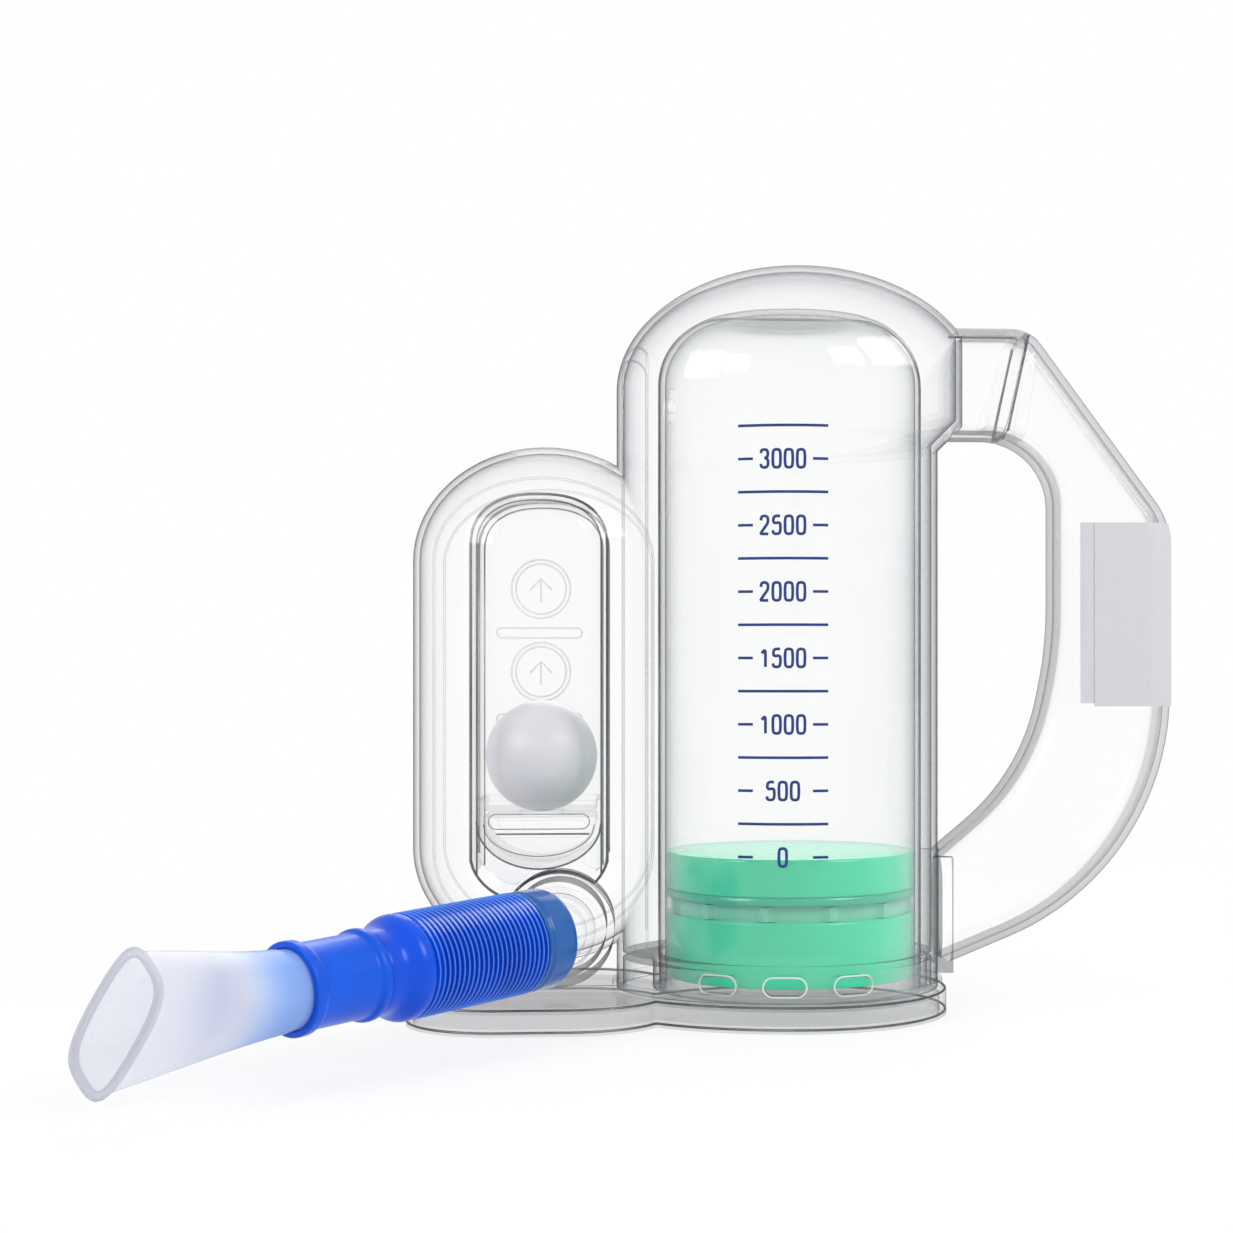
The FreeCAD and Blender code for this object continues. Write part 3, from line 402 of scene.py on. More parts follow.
@dataclass(frozen=True)
class CoatedPaper:
    """Label paper, coated on its face, with short fibres that show as faint mottling."""

    finish: Finish
    colour: str
    fibre_colour: str
    fibre_mm: float = 0.6
    fibre_depth_mm: float = 0.03
    roughness: float = 0.6

    def make(self) -> Material:
        """Build the material.

        Returns:
            The material, named for its finish.
        """
        material, tree, output = new_material(self.finish)
        place = add_node(tree, "ShaderNodeTexCoord")
        fibre = add_node(tree, "ShaderNodeTexNoise", {"Scale": 1 / (self.fibre_mm * MM), "Detail": 4.0},
                         {"Vector": place.outputs["Object"]})
        colour = add_node(tree, "ShaderNodeMix", {6: linear(self.colour), 7: linear(self.fibre_colour)},
                          {0: fibre.outputs["Fac"]}, data_type="RGBA")
        bump = add_node(tree, "ShaderNodeBump", {"Strength": 0.3, "Distance": self.fibre_depth_mm * MM},
                        {"Height": fibre.outputs["Fac"]})
        skin = add_node(tree, "ShaderNodeBsdfPrincipled", {"Roughness": self.roughness, "IOR": 1.45},
                        {"Base Color": colour.outputs[2], "Normal": bump.outputs["Normal"]})
        tree.links.new(skin.outputs[0], output.inputs["Surface"])
        return material


def make_finishes() -> Finishes:
    """Build every material of the object.

    Returns:
        The material of each finish.
    """
    finishes = [
        ClearStyrene(Finish.CLEAR, haze=0.004, band=0.22, line=1.0, line_shade_colour="#1b1f26", line_power=6.0),
        ClearStyrene(Finish.CLEAR_INNER, haze=0.004, band=0.5, line=1.0, haze_colour="#eef1f3",
                     band_shade_colour="#e2e8ea", line_shade_colour="#1b1f26", band_power=3.0, line_power=18.0),
        ClearStyrene(Finish.CLEAR_BASE, haze=0.012, band=0.22, line=1.0, line_shade_colour="#2a2e36",
                     line_power=22.0),
        ClearStyrene(Finish.CLEAR_FLAT, haze=0.005, band=0.1, line=0.12),
        # painted shade: dark finish for the thin ridges drawn along rounded clear edges
        ClearStyrene(Finish.EDGE, haze=0.6, band=0.8, line=1.0, haze_colour="#4a4f59",
                     band_shade_colour="#3d424c", line_shade_colour="#15181d", band_power=1.2),
        # painted shade: grey finish for the ridges where the housing's facets meet
        ClearStyrene(Finish.FACET_SHADE_LINE, haze=0.05, band=0.5, line=0.8, band_shade_colour="#8d929c", band_power=1.4),
        # the raised figures are real; their grey finish is painted shade
        ClearStyrene(Finish.RELIEF_SHADE, haze=0.12, band=0.6, line=0.7, haze_colour="#8b909b",
                     band_shade_colour="#7b818c", line_shade_colour="#4d525c", band_power=1.2),
        # painted highlight: near-white finish for the ridges round the air slots
        TranslucentMoulding(Finish.RIM, "#f2f5f6", "#ffffff", 0.55),
        TranslucentMoulding(Finish.GREEN, "#4bebb9", "#bdf5e0", 0.66),
        TranslucentMoulding(Finish.GREEN_BAND, "#8fe6cd", "#cdf5e9", 0.55),
        TranslucentMoulding(Finish.SEAL, "#36c09c", "#9fe0cc", 0.8),
        MouldedPlastic(Finish.BALL, "#dfdfe3", "#d9d9dc", 0.4, 1.0, 0.003, milky=0.25, milky_mm=4.0,
                       coat=0.12),
        MouldedPlastic(Finish.INK, "#042c78", "#063184", 0.5, 0.2, 0.01, cloud_mm=2.0, specular=0.1),
        CoatedPaper(Finish.PAPER, "#c8c8cd", "#bcbcc2"),
        TranslucentMoulding(Finish.CUFF, "#0a5cae", "#8fc0e6", 0.7),
        MouldedPlastic(Finish.HOSE, "#0044c8", "#003cb8", 0.25, 1.0, 0.003, coat=0.15, specular=0.2),
        # painted highlight: lighter blue for the hose's fold crests
        MouldedPlastic(Finish.HOSE_CREST_HIGHLIGHT, "#3d8af2", "#347fe8", 0.25, 1.0, 0.003, coat=0.3),
        MouldedPlastic(Finish.BELL, "#0050dc", "#004ad0", 0.28, 3.0, 0.002, coat=0.1, specular=0.2),
        MouldedPlastic(Finish.ADAPTER, "#0058dc", "#0050d0", 0.3, 3.0, 0.002, coat=0.1, specular=0.2),
        FrostedPolyethylene(Finish.FROSTED, "#eff1f7", through=0.52),
        FrostedPolyethylene(Finish.FROSTED_INNER, "#ffffff", through=0.7, outline_shade_colour="#d5d9e2"),
        # the rolled rim is denser; its greyer colour is painted shade
        FrostedPolyethylene(Finish.FROSTED_RIM, "#cdced8", through=0.3, outline_shade_colour="#9398a6"),
    ]
    return {entry.finish: entry.make() for entry in finishes}


def build_mesh(name: str, points: Iterable[Vector], faces: Faces, finish: Material,
               sharp_deg: float = 40.0) -> Piece:
    """Make a smooth-shaded mesh object with sharp edges kept.

    Args:
        name: The piece's name.
        points: Its corners in metres.
        faces: Its faces as corner numbers.
        finish: Its material.
        sharp_deg: Edges sharper than this stay sharp.

    Returns:
        The object, linked to the scene.
    """
    mesh = bpy.data.meshes.new(name)
    mesh.from_pydata([tuple(p) for p in points], [], faces)
    mesh.validate()
    mesh.materials.append(finish)
    mesh.shade_smooth()
    mesh.set_sharp_from_angle(angle=math.radians(sharp_deg))
    piece = bpy.data.objects.new(name, mesh)
    bpy.context.scene.collection.objects.link(piece)
    return piece


def loop_rows(rows: Sequence[Row], closed: bool = True) -> Skin:
    """Join rings of points into one skin.

    Args:
        rows: Rings with the same number of points each.
        closed: Whether the last ring joins the first.

    Returns:
        The points and the faces.
    """
    count = len(rows[0])
    points = [p for row in rows for p in row]
    faces = []
    last = len(rows) if closed else len(rows) - 1
    for r in range(last):
        for i in range(count):
            a = r * count + i
            b = r * count + (i + 1) % count
            c = (r + 1) % len(rows) * count + (i + 1) % count
            d = (r + 1) % len(rows) * count + i
            faces.append((a, b, c, d))
    return points, faces


def end_caps(total: int, count: int) -> Faces:
    """Give the faces that close a skin at its first and last ring.

    Args:
        total: How many points the skin has.
        count: How many points a ring has.

    Returns:
        The two faces.
    """
    return [tuple(reversed(range(count))), tuple(range(total - count, total))]


def join_strips(strips: Iterable[Strip]) -> Skin:
    """Put several skins into one, with caps on the open ones.

    Args:
        strips: The rings of each skin, and whether it is a loop.

    Returns:
        The points and the faces.
    """
    points: list[Vector] = []
    faces: Faces = []
    for rows, closed in strips:
        new_points, new_faces = loop_rows(rows, closed)
        if not closed:
            new_faces += end_caps(len(new_points), len(rows[0]))
        faces += [tuple(len(points) + n for n in face) for face in new_faces]
        points += new_points
    return points, faces


def run_at(line: Sequence[Vector], i: int, closed: bool) -> Vector:
    """Give a line's direction at one of its points.

    Args:
        line: The line's points.
        i: The point's number.
        closed: Whether the line is a loop.

    Returns:
        The step from the point before to the point after.
    """
    before = line[i - 1] if closed or i else line[i]
    after = line[(i + 1) % len(line)] if closed or i < len(line) - 1 else line[i]
    return after - before


def round_turns(count: int) -> list[float]:
    """Give angles that divide a full turn evenly, in radians."""
    return [2 * math.pi * i / count for i in range(count)]


def eased(profile: Profile, reach: float, steps: int = 4) -> list[Pair]:
    """Round the corners of a closed profile.

    Args:
        profile: Corners of the closed profile in millimetres.
        reach: How far along each side the rounding starts, in millimetres.
        steps: Pieces per corner.

    Returns:
        The rounded closed profile.
    """
    result = []
    corners = [Vector(p) for p in profile]
    for i, corner in enumerate(corners):
        before = corners[i - 1] - corner
        after = corners[(i + 1) % len(corners)] - corner
        start = corner + before.normalized() * min(reach, before.length * 0.45)
        end = corner + after.normalized() * min(reach, after.length * 0.45)
        for k in range(steps + 1):
            s = k / steps
            result.append(start * (1 - s) ** 2 + corner * 2 * s * (1 - s) + end * s ** 2)
    return [(p[0], p[1]) for p in result]


def smooth_share(value: float) -> float:
    """Ease a share of 0 to 1 at both ends."""
    s = min(max(value, 0.0), 1.0)
    return s * s * (3 - 2 * s)


@dataclass
class UprightLathe:
    """Turned form about an upright axis."""

    x: float
    segments: int = 128

    def rings(self, profile: Profile,
              swell: Callable[[float, float], float] | None = None) -> list[Row]:
        """Turn a closed profile into rings.

        Args:
            profile: Radius and height pairs in millimetres.
            swell: Added radius in millimetres by height and turn in radians.

        Returns:
            One ring of points for each profile point.
        """
        rows = []
        for radius, height in profile:
            row = []
            for turn in round_turns(self.segments):
                r = max(radius + (swell(height, turn) if swell and radius > 1 else 0.0), 0.001)
                row.append(Vector((self.x + r * math.cos(turn), r * math.sin(turn), height)) * MM)
            rows.append(row)
        return rows


@dataclass
class HoseLine:
    """Straight line that the hose, the adapter and the mouthpiece lie on at rest."""

    start: Vector
    along: Vector
    segments: int = 96
    level: Vector = field(init=False)
    upward: Vector = field(init=False)

    def __post_init__(self) -> None:
        """Work out the two directions across the line."""
        self.level = UP.cross(self.along).normalized()
        self.upward = self.along.cross(self.level).normalized()

    def at(self, t: float, upward: float = 0.0, level: float = 0.0) -> Vector:
        """Give a point by its distance along the line and its two offsets, in millimetres."""
        return self.start + (self.along * t + self.upward * upward + self.level * level) * MM

    def rings(self, profile: Profile) -> list[Row]:
        """Turn a profile about the line.

        Args:
            profile: Radius and distance along in millimetres.

        Returns:
            One ring of points for each profile point.
        """
        return [[self.at(t, radius * math.cos(a), radius * math.sin(a)) for a in round_turns(self.segments)]
                for radius, t in profile]


def find_hose_line() -> HoseLine:
    """Work out the hose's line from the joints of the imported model.

    Returns:
        The line, starting at the end of the port.
    """
    joints = {joint["name"]: joint for joint in frame["joints"]}
    along = Vector(joints["adapter_swivel"]["axis"]).normalized()
    bend = Vector(joints["hose_bend"]["pos_m"])
    return HoseLine(bend - along * HoseTrain.bend_at * MM, along)


@dataclass
class Work:
    """Part of the model that is built with the finishes."""

    finishes: Finishes


@dataclass
class HoseTrain(Work):
    """Cuff, corrugated hose, bell, adapter and mouthpiece."""

    radius: float = 15.3
    groove: float = 1.3
    wall: float = 0.9
    folds: int = 22
    fold_rows: int = 8
    bell_folds: int = 2
    cuff_end: float = 12.0
    cuff_bore: float = 11.1
    hose_end: float = 53.0
    bell_end: float = 71.0
    bell_bore: float = 10.7
    shoulder: float = 60.0
    neck: float = 12.26
    adapter_radius: float = 12.0
    collar_radius: float = 13.1
    adapter_end: float = 97.5
    adapter_bore: float = 8.0
    plug_start: float = 60.5
    plug_radius: float = 10.6
    socket_end: float = 84.0
    nose_radius: float = 9.1
    nose_end: float = 108.0
    mouth_start: float = 84.6
    mouth_round_end: float = 99.0
    mouth_end: float = 152.5
    mouth_radius: float = 11.0
    mouth_wall: float = 1.4
    mouth_step: float = 0.3
    lip_half_long: float = 22.4
    lip_half_short: float = 10.6
    lip_lean_deg: float = 47.0
    lip_fullness: float = 0.42
    lip_pinch: float = 0.10
    rim_radius: float = 1.25
    mouth_rows: int = 40
    rim_rows: int = 8
    line: HoseLine = field(init=False)

    bend_at = 33.0

    def __post_init__(self) -> None:
        """Find the line that the pieces lie on."""
        self.line = find_hose_line()

    def turned(self, name: str, profile: Profile, finish: Finish) -> Piece:
        """Make a piece that is turned about the hose's line.

        Args:
            name: The piece's name.
            profile: Radius and distance along in millimetres, as a closed profile.
            finish: The piece's finish.

        Returns:
            The piece.
        """
        points, faces = loop_rows(self.line.rings(profile))
        return build_mesh(name, points, faces, self.finishes[finish])

    def cuff(self) -> Piece:
        """Make the smooth translucent sleeve at the port.

        Returns:
            The piece, which rides with the hose's fixed end.
        """
        r = self.radius - 0.1
        profile = [(self.cuff_bore, 0.0), (r - 0.6, 0.0), (r, 1.5), (r, 9.5), (r - 0.5, 10.2),
                   (r - 0.5, 11.2), (r - 0.1, self.cuff_end), (self.cuff_bore, self.cuff_end)]
        piece = self.turned("cuff_sleeve", eased(profile, 0.5), Finish.CUFF)
        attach(piece, "hose_base")
        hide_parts("hose_cuff")
        return piece

    def folded(self, start: float, end: float, folds: int) -> list[Pair]:
        """Give the outer profile of a run of folds.

        Args:
            start: Distance along the line where the run starts, in millimetres.
            end: Distance where it ends.
            folds: How many folds it has.

        Returns:
            Radius and distance pairs in millimetres, from groove to groove.
        """
        profile = []
        count = folds * self.fold_rows
        for i in range(count + 1):
            dip = 0.5 + 0.5 * math.cos(2 * math.pi * i / self.fold_rows)
            profile.append((self.radius - self.groove * dip ** 0.7, start + (end - start) * i / count))
        return profile

    def paint_crest_highlights(self, piece: Piece, folds: int) -> None:
        """Give the thin crests of a piece's first folds a lighter blue finish, a painted highlight where the
        lamps would catch them.

        Args:
            piece: The turned piece.
            folds: How many folds it starts with.
        """
        # painted highlight: the crest faces get the lighter blue finish
        piece.data.materials.append(self.finishes[Finish.HOSE_CREST_HIGHLIGHT])
        crest = (self.fold_rows // 2 - 1, self.fold_rows // 2)
        for face in piece.data.polygons:
            row = face.index // self.line.segments
            if row < folds * self.fold_rows and row % self.fold_rows in crest:
                face.material_index = 1

    def hose(self) -> Piece:
        """Make the corrugated hose, fixed where it lies at rest.

        Returns:
            The piece, baked into world space.
        """
        outer = self.folded(self.cuff_end, self.hose_end, self.folds)
        inner_radius = self.radius - self.groove - self.wall
        inner = [(inner_radius, t) for _, t in reversed(outer[::self.fold_rows])]
        piece = self.turned("corrugated_hose", outer + inner, Finish.HOSE)
        self.paint_crest_highlights(piece, self.folds)
        self.line.at(self.cuff_end + 2)
        self.line.at(self.hose_end - 1)
        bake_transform(piece)
        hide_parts("hose")
        return piece

    def bell(self) -> Piece:
        """Make the smooth narrowing end of the hose.

        Returns:
            The piece, which rides with the hose's far end.
        """
        r = self.radius
        pitch = (self.hose_end - self.cuff_end) / self.folds
        folded_end = self.hose_end + self.bell_folds * pitch
        folds = self.folded(self.hose_end, folded_end, self.bell_folds)
        inner = r - self.groove - self.wall
        narrow = self.shoulder
        smooth = eased([(r - self.groove, folded_end - 1.0), (r, folded_end + 0.9), (r, narrow),
                        (r - 0.5, narrow + 1.6), (self.neck + 0.7, narrow + 4.0),
                        (self.neck, narrow + 5.8), (self.neck, self.bell_end - 0.8),
                        (self.neck - 0.5, self.bell_end), (self.bell_bore, self.bell_end),
                        (self.bell_bore, narrow), (inner, narrow - 2.0), (inner, self.hose_end)], 1.2)
        start = next(i for i, (_, t) in enumerate(smooth) if t > folded_end)
        piece = self.turned("hose_end_bell", folds + smooth[start:], Finish.BELL)
        self.paint_crest_highlights(piece, self.bell_folds)
        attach(piece, "hose_tip")
        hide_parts("hose_bell")
        return piece

    def adapter(self) -> Piece:
        """Make the blue adapter with its two collars, its socket and its inner nose.

        Returns:
            The piece.
        """
        low = self.bell_end + 0.3
        high = self.adapter_end
        collar = self.collar_radius
        socket = self.mouth_radius + 0.06
        profile = [(self.adapter_bore, self.plug_start), (self.plug_radius, self.plug_start),
                   (self.plug_radius, low), (collar, low), (collar, low + 2.2),
                   (self.adapter_radius, low + 3.2), (self.adapter_radius, high - 4.2),
                   (collar, high - 3.2), (collar, high), (socket, high), (socket, self.socket_end),
                   (self.nose_radius, self.socket_end), (self.nose_radius, self.nose_end),
                   (self.adapter_bore, self.nose_end)]
        piece = self.turned("hose_adapter", eased(profile, 0.6), Finish.ADAPTER)
        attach(piece, "adapter")
        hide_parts("adapter")
        return piece

    def lip_ring(self, t: float, inset: float) -> Row:
        """Give one ring of the mouthpiece's skin.

        Args:
            t: Distance along the line in millimetres.
            inset: How far the skin lies inside the outer one, in millimetres.

        Returns:
            The ring's points in metres.
        """
        share = (t - self.mouth_round_end) / (self.mouth_end - self.mouth_round_end)
        share = min(max(share, 0.0), 1.05)
        ease = share * share * (3 - 2 * share) * 0.35 + share * 0.65
        first = self.mouth_radius + self.mouth_step * smooth_share((t - self.mouth_round_end) / 1.5)
        long = first + (self.lip_half_long - first) * ease - inset
        short = first + (self.lip_half_short - first) * ease - inset
        lean = math.radians(self.lip_lean_deg)
        row = []
        for turn in round_turns(self.line.segments):
            across = long * math.cos(turn) * (1 + self.lip_fullness * ease * math.sin(turn) ** 2)
            thin = short * math.sin(turn) * (1 - self.lip_pinch * ease * math.sin(turn) ** 4)
            upward = across * math.sin(lean) + thin * math.cos(lean)
            level = across * math.cos(lean) - thin * math.sin(lean)
            row.append(self.line.at(t, upward, level))
        return row

    def mouthpiece(self) -> Piece:
        """Make the frosted mouthpiece with its rolled rim.

        Returns:
            The piece, with its outer skin, rim and inner skin in three finishes.
        """
        run = self.mouth_end - self.rim_radius - self.mouth_start
        heights = [self.mouth_start + run * i / self.mouth_rows for i in range(self.mouth_rows + 1)]
        rows = [self.lip_ring(t, 0.0) for t in heights[:-1]]
        middle = self.mouth_wall - self.rim_radius
        for k in range(self.rim_rows + 1):
            turn = math.pi * (k / self.rim_rows * 1.5 - 0.25)
            t = self.mouth_end - self.rim_radius + self.rim_radius * math.sin(turn)
            rows.append(self.lip_ring(t, middle - self.rim_radius * math.cos(turn)))
        rows += [self.lip_ring(t, self.mouth_wall) for t in reversed(heights[:-1])]
        points, faces = loop_rows(rows)
        piece = build_mesh("frosted_mouthpiece", points, faces, self.finishes[Finish.FROSTED], 60.0)
        piece.data.materials.append(self.finishes[Finish.FROSTED_RIM])
        piece.data.materials.append(self.finishes[Finish.FROSTED_INNER])
        for face in piece.data.polygons:
            row = face.index // self.line.segments - self.mouth_rows
            face.material_index = 0 if row < 0 else 1 if row < self.rim_rows else 2
        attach(piece, "mouthpiece")
        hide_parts("mouthpiece")
        return piece

    def build(self) -> list[Piece]:
        """Make every piece of the hose train."""
        return [self.cuff(), self.hose(), self.bell(), self.adapter(), self.mouthpiece()]


@dataclass
class Piston(Work):
    """Green piston: a rounded crown, a thin sealing lip and a ribbed lower body."""

    radius: float = 40.2
    top: float = 52.5
    crown_bottom: float = 40.6
    seal_bottom: float = 37.8
    band_bottom: float = 32.9
    skirt_bottom: float = 12.5
    band_deep: float = 2.2
    seal_deep: float = 4.8
    wall: float = 1.6
    ribs: int = 12
    rib_deg: float = 2.2
    rib_edge_deg: float = 1.2
    segments: int = 180

    def turned(self, name: str, profile: Profile, finish: Finish,
               swell: Callable[[float, float], float] | None = None) -> Piece:
        """Make a turned piece of the piston.

        Args:
            name: The piece's name.
            profile: Radius and height in millimetres, as a closed profile.
            finish: The piece's finish.
            swell: Added radius in millimetres by height and turn in radians.

        Returns:
            The piece.
        """
        points, faces = loop_rows(UprightLathe(0.0, self.segments).rings(profile, swell))
        return build_mesh(name, points, faces, self.finishes[finish])

    def rib_swell(self, height: float, turn: float) -> float:
        """Give the ribs' added radius in the recessed band.

        Args:
            height: Height in millimetres.
            turn: Angle about the axis in radians.

        Returns:
            The added radius in millimetres.
        """
        if not self.band_bottom + 0.2 < height < self.seal_bottom - 0.2:
            return 0.0
        step = 360 / self.ribs
        away = abs((math.degrees(turn) % step) - step / 2)
        return (self.band_deep - 0.5) * (1 - smooth_share((away - self.rib_deg) / self.rib_edge_deg))

    def build(self) -> list[Piece]:
        """Make the crown, the seal and the lower body.

        Returns:
            The three pieces, which ride with the piston.
        """
        r = self.radius
        crown = self.turned("piston_cap", eased([
            (0.0, self.top), (r, self.top), (r, self.crown_bottom), (r - self.wall, self.crown_bottom),
            (r - self.wall, self.top - self.wall), (0.0, self.top - self.wall)], 1.2), Finish.GREEN)
        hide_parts("piston_crown")
        seal = self.turned("sealing_lip", eased([
            (r - self.seal_deep, self.crown_bottom), (r - 0.1, self.crown_bottom),
            (r + 0.3, self.crown_bottom - 1.2), (r + 0.3, self.seal_bottom + 0.4),
            (r - 0.6, self.seal_bottom), (r - self.seal_deep, self.seal_bottom)], 0.4), Finish.SEAL)
        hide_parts("piston_seal")
        band = r - self.band_deep
        low = self.band_bottom
        steps = [(band, self.seal_bottom - 0.6 - 0.35 * k) for k in range(11)]
        body = self.turned("piston_body", eased([
            (0.0, self.seal_bottom), (band, self.seal_bottom), *steps, (band, low), (r - 0.4, low),
            (r, low - 0.6), (r, self.skirt_bottom), (r - self.wall, self.skirt_bottom),
            (r - self.wall, low - self.wall), (band - self.wall, low - self.wall),
            (band - self.wall, self.seal_bottom - self.wall), (0.0, self.seal_bottom - self.wall)], 0.25),
            Finish.GREEN, self.rib_swell)
        body.data.materials.append(self.finishes[Finish.GREEN_BAND])
        for face in body.data.polygons:
            centre = face.center
            if centre.z > (low + 0.1) * MM and centre.xy.length > (band - 0.2) * MM:
                face.material_index = 1
        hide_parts("piston_skirt")
        pieces = [crown, seal, body]
        for piece in pieces:
            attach(piece, "piston")
        return pieces


@dataclass
class FlowBall(Work):
    """Milky white ball of the flow chamber."""

    radius: float = 17.93
    parting_ridge: float = 0.06
    rings: int = 48
    segments: int = 96

    def build(self) -> list[Piece]:
        """Make the ball, with the faint parting line of its two halves.

        Returns:
            The ball, in a list of its own.
        """
        low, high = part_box("ball")
        centre = (low + high) / 2
        lathe = UprightLathe(centre.x / MM, self.segments)
        profile = []
        for i in range(self.rings + 1):
            tilt = math.pi * (i / self.rings - 0.5)
            ridge = self.parting_ridge if i == self.rings // 2 else 0.0
            profile.append(((self.radius + ridge) * math.cos(tilt),
                            centre.z / MM + self.radius * math.sin(tilt)))
        points, faces = loop_rows(lathe.rings(profile), closed=False)
        faces += end_caps(len(points), self.segments)
        piece = build_mesh("flow_ball", points, faces, self.finishes[Finish.BALL])
        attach(piece, "ball")
        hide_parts("ball")
        return [piece]


@dataclass
class ScaleNumbers(Work):
    """Plain printed numbers beside the ticks of the volume scale."""

    cylinder_radius: float = 42.5
    zero_z: float = 53.4
    pitch: float = 20.4
    turn_deg: float = -7.0
    numbers: tuple[str, ...] = ("0", "500", "1000", "1500", "2000", "2500", "3000")
    tall: float = 5.5
    wide: float = 2.35
    step: float = 3.75
    stroke: float = 0.9
    ink: float = 0.12
    lift: float = 0.02

    def glyph(self, digit: str) -> list[tuple[list[Pair], bool]]:
        """Give a digit's strokes on a grid 1 wide and 2 high.

        Args:
            digit: One of the digits that the scale has.

        Returns:
            The points of each stroke, and whether it is closed.
        """
        shapes = {
            "0": [([(0, .45), (0, 1.55), (.12, 2), (.88, 2), (1, 1.55), (1, .45), (.88, 0), (.12, 0)], True)],
            "1": [([(.12, 1.5), (.62, 2), (.62, 1), (.62, 0)], False)],
            "2": [([(.02, 1.5), (.1, 2), (.9, 2), (1, 1.3), (.6, .8), (0, .1), (0, 0), (1, 0)], False)],
            "3": [([(.02, 1.6), (.1, 2), (.92, 2), (.95, 1.15), (.45, 1.05), (.98, .95), (.95, 0), (.1, 0),
                    (0, .4)], False)],
            "5": [([(.95, 2), (.1, 2), (.05, 1.15), (.9, 1.3), (1, .9), (1, .4), (.85, 0), (.1, 0), (0, .4)],
                   False)],
        }
        return shapes[digit]

    def softened(self, line: list[Pair], closed: bool) -> list[Vector]:
        """Round a stroke's corners by cutting them twice.

        Args:
            line: The stroke's points.
            closed: Whether it is a loop.

        Returns:
            The rounded stroke's points.
        """
        points = [Vector(p) for p in line]
        for _ in range(2):
            cut = []
            last = len(points) if closed else len(points) - 1
            for i in range(last):
                a = points[i]
                b = points[(i + 1) % len(points)]
                cut += [a * 0.75 + b * 0.25, a * 0.25 + b * 0.75]
            points = cut if closed else [points[0], *cut, points[-1]]
        return points

    def on_cylinder(self, across: float, height: float, out: float) -> Vector:
        """Give a point on the cylinder's face.

        Args:
            across: Distance from the scale's middle line in millimetres.
            height: Height in millimetres.
            out: Distance out of the face in millimetres.

        Returns:
            The point in metres.
        """
        turn = math.radians(self.turn_deg) + across / self.cylinder_radius
        r = self.cylinder_radius + out
        return Vector((r * math.sin(turn), -r * math.cos(turn), height)) * MM

    def ribbon(self, line: list[Vector], closed: bool) -> list[Row]:
        """Give the ink's section along a stroke.

        Args:
            line: The stroke's points in millimetres, across and up.
            closed: Whether it is a loop.

        Returns:
            The section's four corners at each point.
        """
        rows = []
        for i, here in enumerate(line):
            run = run_at(line, i, closed).normalized()
            side = Vector((-run.y, run.x)) * (self.stroke / 2)
            left = here + side
            right = here - side
            rows.append([self.on_cylinder(corner.x, corner.y, out) for corner, out in
                         ((left, self.lift), (left, self.ink), (right, self.ink), (right, self.lift))])
        return rows

    def build(self) -> list[Piece]:
        """Make the numbers as one layer of ink.

        Returns:
            The numbers, in a list of their own.
        """
        strips = []
        for index, number in enumerate(self.numbers):
            base = self.zero_z + index * self.pitch - self.tall / 2
            start = -(len(number) * self.step - (self.step - self.wide)) / 2
            for place, digit in enumerate(number):
                for line, closed in self.glyph(digit):
                    soft = self.softened(line, closed)
                    left = start + place * self.step
                    scaled = [Vector((left + p.x * self.wide, base + p.y * self.tall / 2)) for p in soft]
                    strips.append((self.ribbon(scaled, closed), closed))
        points, faces = join_strips(strips)
        piece = build_mesh("scale_numbers", points, faces, self.finishes[Finish.INK])
        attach(piece, "housing")
        return [piece]


@dataclass
class RidgeWork(Work):
    """Work made of thin rounded ridges that lie on a wall."""

    section_points: int = 8

    def pill(self, half_long: float, half_high: float, steps: int = 12) -> list[Pair]:
        """Give a pill-shaped loop.

        Args:
            half_long: Half its length in millimetres.
            half_high: Half its height in millimetres.
            steps: Pieces per rounded end.

        Returns:
            The loop's points, across and up from its middle.
        """
        straight = half_long - half_high
        loop = []
        for side in (1, -1):
            for i in range(steps + 1):
                turn = math.pi * (i / steps - 0.5)
                across = straight + half_high * math.cos(turn)
                loop.append((side * across, side * half_high * math.sin(turn)))
        return loop

    def ridge_rows(self, line: list[Vector], outward: list[Vector], closed: bool, size: float) -> list[Row]:
        """Give round sections along a line that lies on a wall.

        Args:
            line: Points of the line in metres.
            outward: Direction out of the wall at each point.
            closed: Whether the line is a loop.
            size: Radius of the section in millimetres.

        Returns:
            One ring of points for each point of the line.
        """
        rows = []
        for i, here in enumerate(line):
            side = run_at(line, i, closed).cross(outward[i]).normalized()
            rows.append([here + (side * math.cos(a) + outward[i] * math.sin(a)) * size * MM
                         for a in round_turns(self.section_points)])
        return rows

    def ridge(self, line: list[Vector], outward: Vector, closed: bool, size: float) -> Strip:
        """Give a ridge that stands out in one direction all along.

        Args:
            line: Points of the line in metres.
            outward: Direction out of the wall.
            closed: Whether the line is a loop.
            size: Radius of the section in millimetres.

        Returns:
            The ridge's rings, and whether it is a loop.
        """
        return self.ridge_rows(line, [outward] * len(line), closed, size), closed

    def merged(self, name: str, strips: list[Strip], finish: Finish) -> Piece:
        """Make one piece of several ridges, which rides with the housing.

        Args:
            name: The piece's name.
            strips: The rings of each ridge, and whether it is a loop.
            finish: The piece's finish.

        Returns:
            The piece.
        """
        points, faces = join_strips(strips)
        piece = build_mesh(name, points, faces, self.finishes[finish], 80.0)
        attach(piece, "housing")
        return piece


